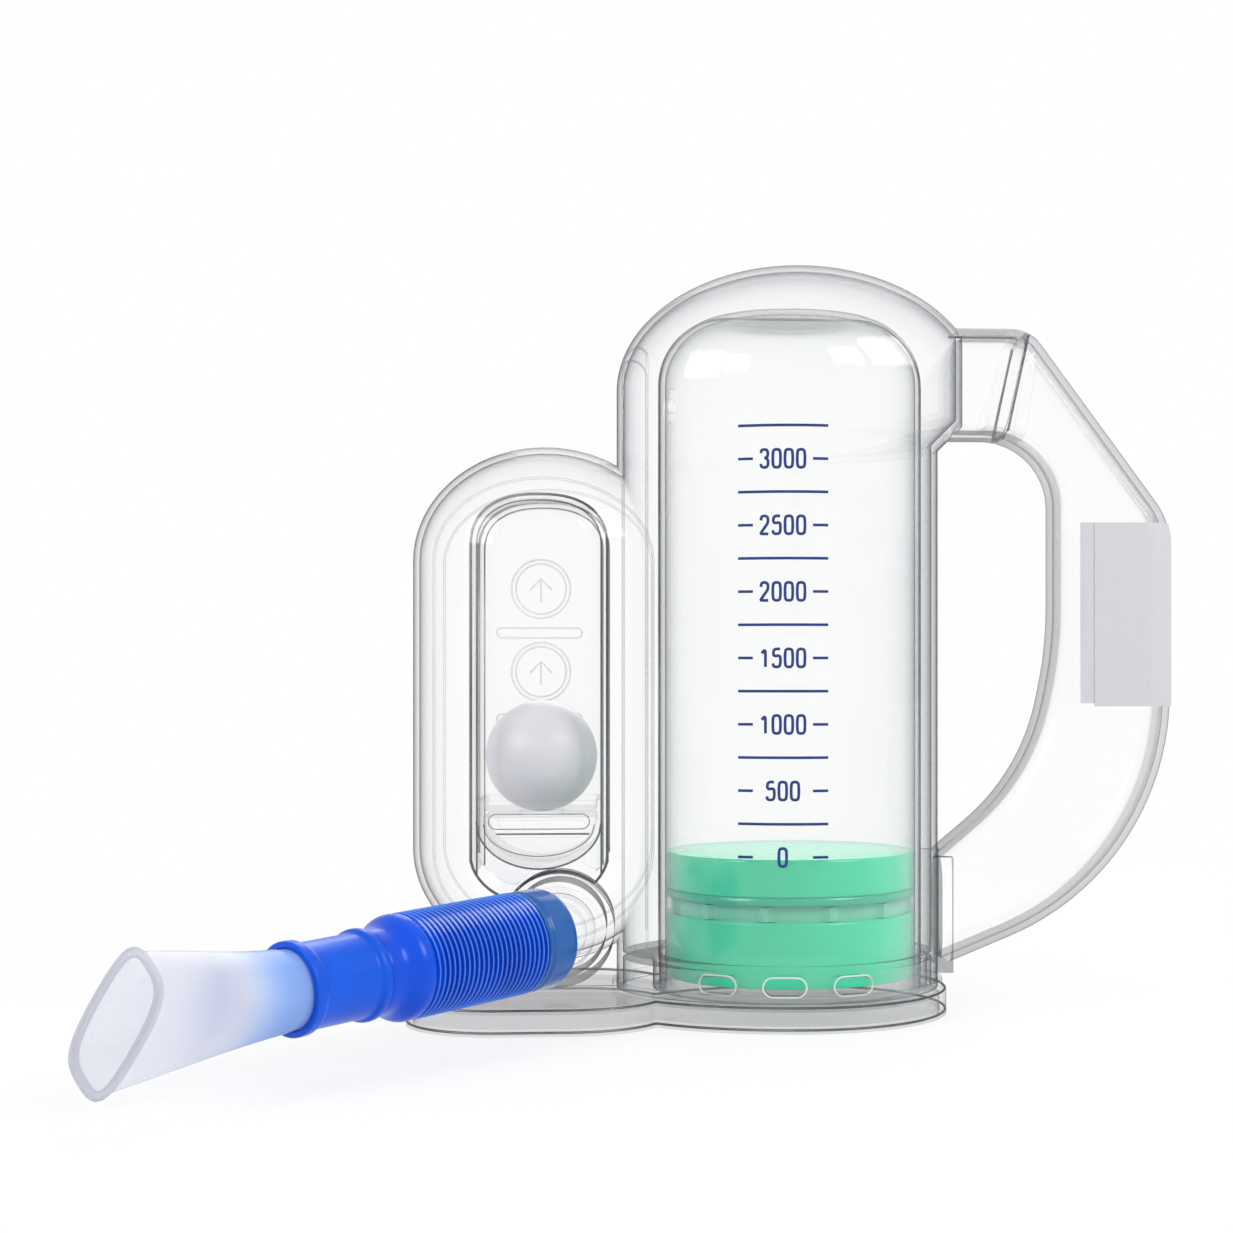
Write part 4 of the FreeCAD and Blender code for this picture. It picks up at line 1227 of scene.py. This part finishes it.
@dataclass
class RaisedFigures(RidgeWork):
    """Raised rings, bars and arrows on the ball chamber's back wall, and white ridges round the air slots
    that are a painted highlight on the slots' edges.
    """

    middle_x: float = -81.5
    wall_y: float = 19.3
    heights: tuple[float, ...] = (137.8, 110.3)
    ring_radii: tuple[float, ...] = (9.7, 8.3)
    bar_x: float = -82.0
    bar_heights: tuple[float, ...] = (123.2, 94.7)
    bar_half_long: float = 14.0
    bar_half_high: float = 1.6
    ring_points: int = 72
    relief: float = 0.27
    arrow_head: tuple[Pair, ...] = ((-3.6, -0.4), (0.0, 3.4), (3.6, -0.4))
    arrow_shaft: tuple[Pair, ...] = ((0.0, 3.0), (0.0, -4.4))
    vent_z: float = 13.8
    vent_half_wide: float = 6.7
    vent_half_high: float = 3.0
    vent_radius: float = 45.2
    vent_turns: tuple[float, ...] = (-34.0, -6.0, 22.0)
    vent_rim: float = 0.3

    def on_back_wall(self, loop: Profile, x: float, z: float,
                     closed: bool) -> Strip:
        """Lay a ridge on the chamber's back wall.

        Args:
            loop: The line's points in millimetres, across and up from its middle.
            x: Where its middle is, in millimetres.
            z: The middle's height in millimetres.
            closed: Whether it is a loop.

        Returns:
            The ridge's rings, and whether it is a loop.
        """
        line = [Vector((x + a, self.wall_y, z + b)) * MM for a, b in loop]
        return self.ridge(line, FRONT, closed, self.relief)

    def chamber_figures(self) -> Piece:
        """Make the two double rings with a plain arrow in each, and the bars' outlines, in a grey finish that
        paints shade onto the raised figures.

        Returns:
            The piece.
        """
        strips = []
        for z in self.heights:
            for radius in self.ring_radii:
                circle = [(radius * math.cos(a), radius * math.sin(a)) for a in round_turns(self.ring_points)]
                strips.append(self.on_back_wall(circle, self.middle_x, z, True))
            strips.append(self.on_back_wall(self.arrow_head, self.middle_x, z, False))
            strips.append(self.on_back_wall(self.arrow_shaft, self.middle_x, z, False))
        bar = self.pill(self.bar_half_long, self.bar_half_high)
        strips += [self.on_back_wall(bar, self.bar_x, z, True) for z in self.bar_heights]
        return self.merged("chamber_figures", strips, Finish.RELIEF_SHADE)

    def vent_highlight_ridges(self) -> Piece:
        """Make the white ridges round the three air slots at the tower's foot, a painted highlight on the
        slots' edges.

        Returns:
            The piece.
        """
        strips = []
        for middle in self.vent_turns:
            line = []
            outward = []
            for across, high in self.pill(self.vent_half_wide, self.vent_half_high):
                turn = math.radians(middle) + across / self.vent_radius
                out = Vector((math.sin(turn), -math.cos(turn), 0.0))
                line.append((out * self.vent_radius + UP * (self.vent_z + high)) * MM)
                outward.append(out)
            strips.append((self.ridge_rows(line, outward, True, self.vent_rim), True))
        return self.merged("air_slot_painted_highlights", strips, Finish.RIM)

    def build(self) -> list[Piece]:
        """Make the raised figures and the painted slot highlights."""
        return [self.chamber_figures(), self.vent_highlight_ridges()]


@dataclass
class FlowChamber(RidgeWork):
    """Clear chamber of the ball, with an arched crown and a U-shaped foot, and thin dark ridges of painted
    shade along its rounded edges.
    """

    x: float = -80.5
    half: float = 21.8
    corner: float = 8.5
    corner_share: float = 0.96
    wall: float = 1.9
    bottom: float = 37.5
    bowl: float = 16.0
    top: float = 166.8
    arch: float = 17.0
    arch_power: float = 2.4
    crown_power: float = 5.0
    boss_x: float = -74.19
    boss_z: float = 30.09
    boss_radius: float = 17.7
    straight_from: float = 62.0
    foot_shares: tuple[float, ...] = (0.3, 0.6, 0.85, 1.0)
    edge_share: float = 0.45
    outer_edge: float = 0.45
    inner_edge: float = 0.28
    faint_edge: float = 0.15
    edge_insets: Pair = (0.4, 2.3)
    seat_sunk: float = 0.3
    seat_bottom: float = 48.3
    seat_bowl: float = 15.0
    window_z: float = 63.2
    window_half: float = 15.8
    window_high: float = 4.7
    rest_inset: float = 2.2
    rest_high: float = 4.0
    rest_flat: float = 5.0
    bar_below: float = 3.9
    bar_short: float = 2.4
    side_points: int = 6
    corner_points: int = 12
    arch_rows: int = 18

    def ring(self, half_x: float, half_y: float) -> list[Pair]:
        """Give a rounded rectangle about the chamber's axis.

        Args:
            half_x: Half its width in millimetres.
            half_y: Half its depth in millimetres.

        Returns:
            Its points, across and back from the axis.
        """
        radius = min(self.corner, self.corner_share * half_x, self.corner_share * half_y)
        corners = []
        for quarter, (sign_x, sign_y) in enumerate(((1, 1), (-1, 1), (-1, -1), (1, -1))):
            turns = [math.pi / 2 * (quarter + i / self.corner_points) for i in range(self.corner_points + 1)]
            corners.append([(sign_x * (half_x - radius) + radius * math.cos(a),
                             sign_y * (half_y - radius) + radius * math.sin(a)) for a in turns])
        ring = []
        for quarter, corner in enumerate(corners):
            last = corner[-1]
            after = corners[(quarter + 1) % 4][0]
            shares = [i / self.side_points for i in range(1, self.side_points)]
            ring += corner
            ring += [(last[0] * (1 - s) + after[0] * s, last[1] * (1 - s) + after[1] * s) for s in shares]
        return ring

    def foot_height(self, across: float) -> float:
        """Give the height of the chamber's lower edge, which is cut out round the port's boss.

        Args:
            across: Distance from the chamber's axis in millimetres.

        Returns:
            The height in millimetres.
        """
        share = min(abs(across) / self.half, 1.0)
        bowl = self.bottom + self.bowl * (1 - math.sqrt(1 - share * share))
        away = self.x + across - self.boss_x
        if abs(away) >= self.boss_radius:
            return bowl
        return max(bowl, self.boss_z + math.sqrt(self.boss_radius ** 2 - away ** 2))

    def skin(self, inset: float) -> list[Row]:
        """Give the rings of one skin from the crown down to the lower edge.

        Args:
            inset: How far the skin lies inside the outer one, in millimetres.

        Returns:
            Rings of points in metres.
        """
        rows = []
        start = self.top - self.arch
        high = self.arch - inset
        for k in range(self.arch_rows):
            rise = math.sin(math.pi / 2 * (self.arch_rows - k) / (self.arch_rows + 0.35))
            half_x = (self.half - inset) * (1 - rise ** self.arch_power) ** (1 / self.arch_power)
            half_y = (self.half - inset) * (1 - rise ** self.crown_power) ** (1 / self.crown_power)
            rows.append([Vector((self.x + x, y, start + high * rise)) * MM
                         for x, y in self.ring(half_x, half_y)])
        plan = self.ring(self.half - inset, self.half - inset)
        for z in (start, self.straight_from):
            rows.append([Vector((self.x + x, y, z)) * MM for x, y in plan])
        low = self.straight_from
        for share in self.foot_shares:
            rows.append([Vector((self.x + x, y, low + (self.foot_height(x) - low) * share)) * MM
                         for x, y in plan])
        return rows

    def body(self) -> Piece:
        """Make the chamber's wall.

        Returns:
            The piece, which replaces the chamber's node.
        """
        rows = self.skin(0.0) + self.skin(self.wall)[::-1]
        points, faces = loop_rows(rows, closed=False)
        faces += end_caps(len(points), len(rows[0]))
        piece = build_mesh("flow_chamber", points, faces, self.finishes[Finish.CLEAR_FLAT], 50.0)
        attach(piece, "housing")
        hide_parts("ball_chamber")
        return piece

    def edge_line(self, side: int, inset: float) -> list[Vector]:
        """Give the front or rear contour of the chamber, from foot to foot over the arch.

        Args:
            side: -1 for the front and 1 for the rear.
            inset: How far inside the wall's outline it lies, in millimetres.

        Returns:
            The line's points in metres.
        """
        half = self.half - inset
        y = side * (self.half - self.corner * self.edge_share)
        left = [(-half, z) for z in (self.foot_height(half), 80.0, 110.0, self.top - self.arch)]
        for k in range(1, self.arch_rows):
            rise = math.sin(math.pi / 2 * k / self.arch_rows)
            left.append((-half * (1 - rise ** self.arch_power) ** (1 / self.arch_power),
                         self.top - self.arch + (self.arch - inset) * rise))
        line = left + [(0.0, self.top - inset)] + [(-x, z) for x, z in reversed(left)]
        return [Vector((self.x + x, y, z)) * MM for x, z in line]

    def foot_line(self) -> list[Vector]:
        """Give the chamber's lower edge on the front.

        Returns:
            The line's points in metres.
        """
        reach = self.half - 0.3
        y = 0.6 - self.half
        steps = [reach * (i / 30 - 1) for i in range(61)]
        return [Vector((self.x + a, y * (1 - 0.2 * abs(a / reach) ** 6), self.foot_height(a))) * MM
                for a in steps]

    def seat_lines(self) -> list[tuple[list[Vector], bool, float]]:
        """Give the edges of the ball's seat on the front.

        Returns:
            The points of each edge in metres, whether it is a loop, and its size in millimetres.
        """
        half = self.half - self.wall - self.seat_sunk
        y = self.seat_sunk - half
        cup = []
        rest = []
        for i in range(49):
            share = i / 24 - 1
            rise = 1 - math.sqrt(1 - share * share)
            cup.append((half * share, self.seat_bottom + self.seat_bowl * rise))
            rest.append(((half - self.rest_inset) * share,
                         self.seat_bottom + self.rest_high + (self.seat_bowl - self.rest_flat) * rise))
        window = [(a, self.window_z + b) for a, b in self.pill(self.window_half, self.window_high / 2)]
        bar_z = self.window_z - self.bar_below
        bar = [(self.bar_short - self.window_half, bar_z), (self.window_half, bar_z)]
        shapes = ((cup, False, self.inner_edge), (rest, False, self.faint_edge),
                  (window, True, self.faint_edge), (bar, False, self.inner_edge))
        return [([Vector((self.x + a, y, b)) * MM for a, b in loop], closed, size)
                for loop, closed, size in shapes]

    def edges(self) -> Piece:
        """Make thin dark ridges along the chamber's rounded edges and seat, painted shade for the dark lines
        that clear edges show.

        Returns:
            The piece.
        """
        strips = []
        for side in (-1, 1):
            for inset, size in zip(self.edge_insets, (self.outer_edge, self.inner_edge)):
                strips.append(self.ridge(self.edge_line(side, inset), FRONT * -side, False, size))
        strips.append(self.ridge(self.foot_line(), FRONT, False, self.outer_edge))
        strips += [self.ridge(line, FRONT, closed, size) for line, closed, size in self.seat_lines()]
        return self.merged("chamber_edge_shade_lines", strips, Finish.EDGE)

    def build(self) -> list[Piece]:
        """Make the chamber and its painted edge shade."""
        return [self.body(), self.edges()]


@dataclass(frozen=True)
class Bulge:
    """Outer face of the tower or the pod, an oval in plan that rounds off beyond its straight part."""

    x: float
    reach: float
    depth: float
    high: float
    cap: float
    low: float = -math.inf
    sunk: float = 0.15

    def at(self, x: float, z: float, side: int) -> Vector:
        """Give a point on its front or rear.

        Args:
            x: Its place across in millimetres.
            z: Its height in millimetres.
            side: -1 for the front and 1 for the rear.

        Returns:
            The point in metres, sunk a little into the face.
        """
        across = (x - self.x) / self.reach
        rise = (max(z - self.high, 0.0) + max(self.low - z, 0.0)) / self.cap
        deep = self.depth * math.sqrt(max(1 - across ** 2 - rise ** 2, 0.0)) - self.sunk
        return Vector((x, side * deep, z)) * MM


@dataclass
class HousingEdges(RidgeWork):
    """Thin grey ridges on the front and rear of the clear housing, painted shade where the wall's facets
    meet.
    """

    tower: Bulge = Bulge(x=3.0, reach=59.3, depth=45.0, high=201.0, cap=41.0)
    pod: Bulge = Bulge(x=-79.0, reach=42.5, depth=32.0, high=145.7, cap=37.0, low=54.0)
    panel_left: float = -54.2
    panel_right: float = -46.6
    panel_top: float = 213.0
    panel_heights: tuple[float, ...] = (24.0, 70.0, 120.0, 170.0, 200.0)
    ring_inset: float = 8.2
    ring_top: float = 171.0
    bold: float = 0.4

    def panel(self, side: int) -> list[Vector]:
        """Give the outline of the narrow panel on the tower's left.

        Args:
            side: -1 for the front and 1 for the rear.

        Returns:
            The line's points in metres.
        """
        half = (self.panel_right - self.panel_left) / 2
        middle = (self.panel_right + self.panel_left) / 2
        line = [(self.panel_left, z) for z in self.panel_heights]
        for i in range(13):
            turn = math.pi * (1 - i / 12)
            line.append((middle + half * math.cos(turn), self.panel_top - half + half * math.sin(turn)))
        line += [(self.panel_right, z) for z in reversed(self.panel_heights)]
        return [self.tower.at(x, z, side) for x, z in line]

    def pod_ring(self, side: int) -> list[Vector]:
        """Give the line of painted shade round the ball chamber.

        Args:
            side: -1 for the front and 1 for the rear.

        Returns:
            The loop's points in metres.
        """
        reach = self.pod.reach - self.ring_inset
        low = self.pod.cap - self.ring_inset
        high = self.ring_top - self.pod.high
        line = []
        for i in range(33):
            turn = math.pi * i / 32
            line.append((self.pod.x + reach * math.cos(turn), self.pod.high + high * math.sin(turn)))
        line += [(self.pod.x - reach, z) for z in (120.0, 90.0)]
        for i in range(33):
            turn = math.pi * (1 + i / 32)
            line.append((self.pod.x + reach * math.cos(turn), self.pod.low + low * math.sin(turn)))
        line += [(self.pod.x + reach, z) for z in (90.0, 120.0)]
        return [self.pod.at(x, z, side) for x, z in line]

    def build(self) -> list[Piece]:
        """Make the painted shade lines of both halves.

        Returns:
            The lines, in a list of their own.
        """
        strips = []
        for side in (-1, 1):
            strips.append(self.ridge(self.panel(side), FRONT * -side, False, self.bold))
            strips.append(self.ridge(self.pod_ring(side), FRONT * -side, True, self.bold))
        return [self.merged("housing_facet_shade_lines", strips, Finish.FACET_SHADE_LINE)]


@dataclass
class ContourLines(RidgeWork):
    """Fine dark ridges along the rounded edges of the cylinder, the base and the handle's joint, painted
    shade for the dark lines that clear edges show.
    """

    cylinder_radius: float = 42.5
    cylinder_top: float = 225.0
    cylinder_shoulder: float = 22.0
    cylinder_foot: float = 18.0
    base_heights: tuple[float, ...] = (1.2, 7.9)
    joint: tuple[Pair, ...] = ((75.7, 218.5), (69.0, 187.6))
    joint_y: float = 15.6
    stub_top: tuple[Pair, ...] = ((52.0, 219.9), (74.5, 219.9))
    bold: float = 0.4

    def cylinder_line(self) -> list[Vector]:
        """Give the cylinder's contour from foot to foot over its dome.

        Returns:
            The line's points in metres.
        """
        r = self.cylinder_radius
        bend = self.cylinder_shoulder
        half = [(r, z) for z in (self.cylinder_foot, 60.0, 110.0, 160.0)]
        for i in range(17):
            turn = math.pi / 2 * i / 16
            half.append((r - bend + bend * math.cos(turn), self.cylinder_top - bend + bend * math.sin(turn)))
        line = [(-x, z) for x, z in half] + [(x, z) for x, z in reversed(half)]
        return [Vector((x, 0.0, z)) * MM for x, z in line]

    def outline(self, node: str, height: float) -> list[Vector]:
        """Give the longest closed outline of a carried node at a height.

        Args:
            node: The node's name.
            height: Where it is cut, in millimetres.

        Returns:
            The outline's points in metres, in order.
        """
        shape = bmesh.new()
        source = frame["nodes"][node]
        shape.from_mesh(source.data)
        shape.transform(source.matrix_world)
        bmesh.ops.remove_doubles(shape, verts=shape.verts, dist=0.001 * MM)
        everything = shape.verts[:] + shape.edges[:] + shape.faces[:]
        cut = bmesh.ops.bisect_plane(shape, geom=everything, dist=1e-7, plane_co=(0, 0, height * MM),
                                     plane_no=(0, 0, 1))["geom_cut"]
        links: dict[int, list[int]] = {}
        places: dict[int, Vector] = {}
        for edge in (part for part in cut if isinstance(part, bmesh.types.BMEdge)):
            a, b = edge.verts
            links.setdefault(a.index, []).append(b.index)
            links.setdefault(b.index, []).append(a.index)
            places[a.index] = a.co.copy()
            places[b.index] = b.co.copy()
        shape.free()
        best: list[Vector] = []
        longest = 0.0
        left = set(links)
        while left:
            here = min(left)
            chain = []
            while here is not None:
                left.discard(here)
                chain.append(places[here])
                here = next((n for n in links[here] if n in left), None)
            length = sum((chain[i] - chain[i - 1]).length for i in range(len(chain)))
            if length > longest:
                best = chain
                longest = length
        best = [p for i, p in enumerate(best) if (p - best[i - 1]).length > 0.05 * MM]
        area = sum(best[i - 1].x * p.y - p.x * best[i - 1].y for i, p in enumerate(best))
        inward = math.copysign(self.bold * MM, area)
        moved = []
        for i, p in enumerate(best):
            run = run_at(best, i, True).normalized()
            moved.append(p + Vector((-run.y, run.x, 0.0)) * inward)
        return moved

    def build(self) -> list[Piece]:
        """Make the lines of painted shade.

        Returns:
            The lines, in a list of their own.
        """
        strips = [self.ridge(self.cylinder_line(), FRONT, False, self.bold)]
        for height in self.base_heights:
            strips.append(self.ridge(self.outline("base_tray", height), UP, True, self.bold))
        for ends, y in ((self.joint, -self.joint_y), (self.joint, self.joint_y), (self.stub_top, 0.0)):
            line = [Vector((x, y, z)) * MM for x, z in ends]
            strips.append(self.ridge(line, FRONT, False, self.bold))
        return [self.merged("contour_shade_lines", strips, Finish.EDGE)]


@dataclass
class CarriedParts(Work):
    """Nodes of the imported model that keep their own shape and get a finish."""

    def build(self) -> list[Piece]:
        """Dress each carried node.

        Returns:
            The dressed nodes.
        """
        dressed = []
        clear = ["front_shell", "rear_shell", "handle_front", "handle_rear"]
        choices = {name: Finish.CLEAR for name in clear}
        choices.update({"piston_cylinder": Finish.CLEAR_INNER,
                        "ball_seat": Finish.CLEAR_FLAT, "handle_sleeve": Finish.CLEAR_FLAT,
                        "hose_port": Finish.CLEAR_FLAT, "piston_rest": Finish.CLEAR_FLAT,
                        "base_tray": Finish.CLEAR_BASE, "base_plate": Finish.CLEAR_BASE,
                        "scale_marks": Finish.INK, "label": Finish.PAPER})
        for name, finish in choices.items():
            node = frame["nodes"][name]
            node.data.materials.clear()
            node.data.materials.append(self.finishes[finish])
            dressed.append(node)
        return dressed


@dataclass
class Studio:
    """Pale floor, white surroundings, soft lamps and the camera at the photograph's place."""

    camera_mm: tuple[float, float, float] = (-50.0, -715.0, 110.9)
    heading_deg: float = -4.0
    photo_px: float = 1233.0
    focal_px: float = 2200.0
    centre_px: Pair = (790.0, 670.0)
    sensor_mm: float = 36.0
    floor_half_m: float = 6.0
    floor_gap_m: float = 0.0001
    bare_m: Pair = (0.2, 0.6)
    surround: float = 0.58

    def floor(self) -> None:
        """Make the pale floor, which keeps a light shadow."""
        half = self.floor_half_m
        corners = [Vector((x, y, -self.floor_gap_m))
                   for x, y in ((-half, -half), (half, -half), (half, half), (-half, half))]
        material, tree, output = new_material(Finish.FLOOR)
        speck = add_node(tree, "ShaderNodeTexNoise", {"Scale": 400.0, "Detail": 2.0})
        tone = add_node(tree, "ShaderNodeMix", {6: linear("#f7f7f8"), 7: linear("#fbfbfc")},
                        {0: speck.outputs["Fac"]}, data_type="RGBA")
        matt = add_node(tree, "ShaderNodeBsdfDiffuse", None, {"Color": tone.outputs[2]})
        bright = add_node(tree, "ShaderNodeEmission", {"Color": (1, 1, 1, 1), "Strength": 1.0})
        path = add_node(tree, "ShaderNodeLightPath")
        seen = add_node(tree, "ShaderNodeMath", None,
                        {0: path.outputs["Is Camera Ray"], 1: path.outputs["Is Glossy Ray"]},
                        operation="MAXIMUM")
        place = add_node(tree, "ShaderNodeTexCoord")
        away = add_node(tree, "ShaderNodeVectorMath", None, {0: place.outputs["Object"]}, operation="LENGTH")
        bare = add_node(tree, "ShaderNodeMapRange",
                        {"From Min": self.bare_m[0], "From Max": self.bare_m[1], "To Min": 0.8},
                        {"Value": away.outputs["Value"]})
        share = add_node(tree, "ShaderNodeMath", None, {0: seen.outputs[0], 1: bare.outputs[0]},
                         operation="MULTIPLY")
        both = add_node(tree, "ShaderNodeMixShader", None,
                        {0: share.outputs[0], 1: matt.outputs[0], 2: bright.outputs[0]})
        tree.links.new(both.outputs[0], output.inputs["Surface"])
        piece = build_mesh("studio_floor", corners, [(0, 1, 2, 3)], material)

    def world(self) -> None:
        """Light the scene evenly and show white to the camera and in reflections."""
        world = bpy.data.worlds.new("white_surroundings")
        world.use_nodes = True
        tree = world.node_tree
        tree.nodes.clear()
        path = add_node(tree, "ShaderNodeLightPath")
        seen = add_node(tree, "ShaderNodeMath", None,
                        {0: path.outputs["Is Camera Ray"], 1: path.outputs["Is Glossy Ray"]},
                        operation="MAXIMUM")
        every = add_node(tree, "ShaderNodeMath", None,
                         {0: seen.outputs[0], 1: path.outputs["Is Transmission Ray"]}, operation="MAXIMUM")
        soft = add_node(tree, "ShaderNodeBackground", {"Color": (1, 1, 1, 1), "Strength": self.surround})
        white = add_node(tree, "ShaderNodeBackground", {"Color": (1, 1, 1, 1), "Strength": 1.0})
        both = add_node(tree, "ShaderNodeMixShader", None,
                        {0: every.outputs[0], 1: soft.outputs[0], 2: white.outputs[0]})
        output = add_node(tree, "ShaderNodeOutputWorld")
        tree.links.new(both.outputs[0], output.inputs["Surface"])
        bpy.context.scene.world = world

    def lamp(self, name: str, place: tuple[float, float, float], size: float, power: float) -> None:
        """Add a soft square lamp that faces the middle of the object.

        Args:
            name: The lamp's name.
            place: Where it stands, in metres.
            size: The length of its side in metres.
            power: Its power in watts.
        """
        data = bpy.data.lights.new(name, "AREA")
        data.size = size
        data.energy = power
        lamp = bpy.data.objects.new(name, data)
        lamp.location = place
        lamp.rotation_mode = "QUATERNION"
        lamp.rotation_quaternion = (Vector((0, 0, 0.12)) - Vector(place)).to_track_quat("-Z", "Y")
        bpy.context.scene.collection.objects.link(lamp)

    def camera(self) -> None:
        """Place the camera as the photograph's was."""
        data = bpy.data.cameras.new("photo_camera")
        data.sensor_width = self.sensor_mm
        data.lens = self.focal_px / self.photo_px * self.sensor_mm
        data.shift_x = 0.5 - self.centre_px[0] / self.photo_px
        data.shift_y = self.centre_px[1] / self.photo_px - 0.5
        camera = bpy.data.objects.new("photo_camera", data)
        camera.location = Vector(self.camera_mm) * MM
        camera.rotation_euler = (math.pi / 2, 0.0, math.radians(self.heading_deg))
        bpy.context.scene.collection.objects.link(camera)
        bpy.context.scene.camera = camera

    def build(self) -> None:
        """Set the whole studio up."""
        self.floor()
        self.world()
        self.lamp("key_softbox", (0.75, -0.6, 0.8), 0.5, 7.0)
        self.lamp("left_softbox", (-0.8, -0.6, 0.6), 0.4, 3.5)
        self.lamp("rear_softbox", (0.1, 0.9, 0.7), 0.7, 3.5)
        self.camera()
        bpy.context.scene.view_settings.view_transform = "Standard"
        bpy.context.scene.cycles.transparent_max_bounces = 28


def main() -> None:
    """Build the object and the studio and report each piece."""
    logging.basicConfig(level=logging.INFO, format="%(message)s")
    finishes = make_finishes()
    for kind in (CarriedParts, HousingEdges, ContourLines, FlowChamber, RaisedFigures, Piston, FlowBall,
                 ScaleNumbers, HoseTrain):
        for piece in kind(finishes).build():
            LOG.info("%s: %s", kind.__name__, piece.name)
    Studio().build()


if __name__ == "__main__":
    main()
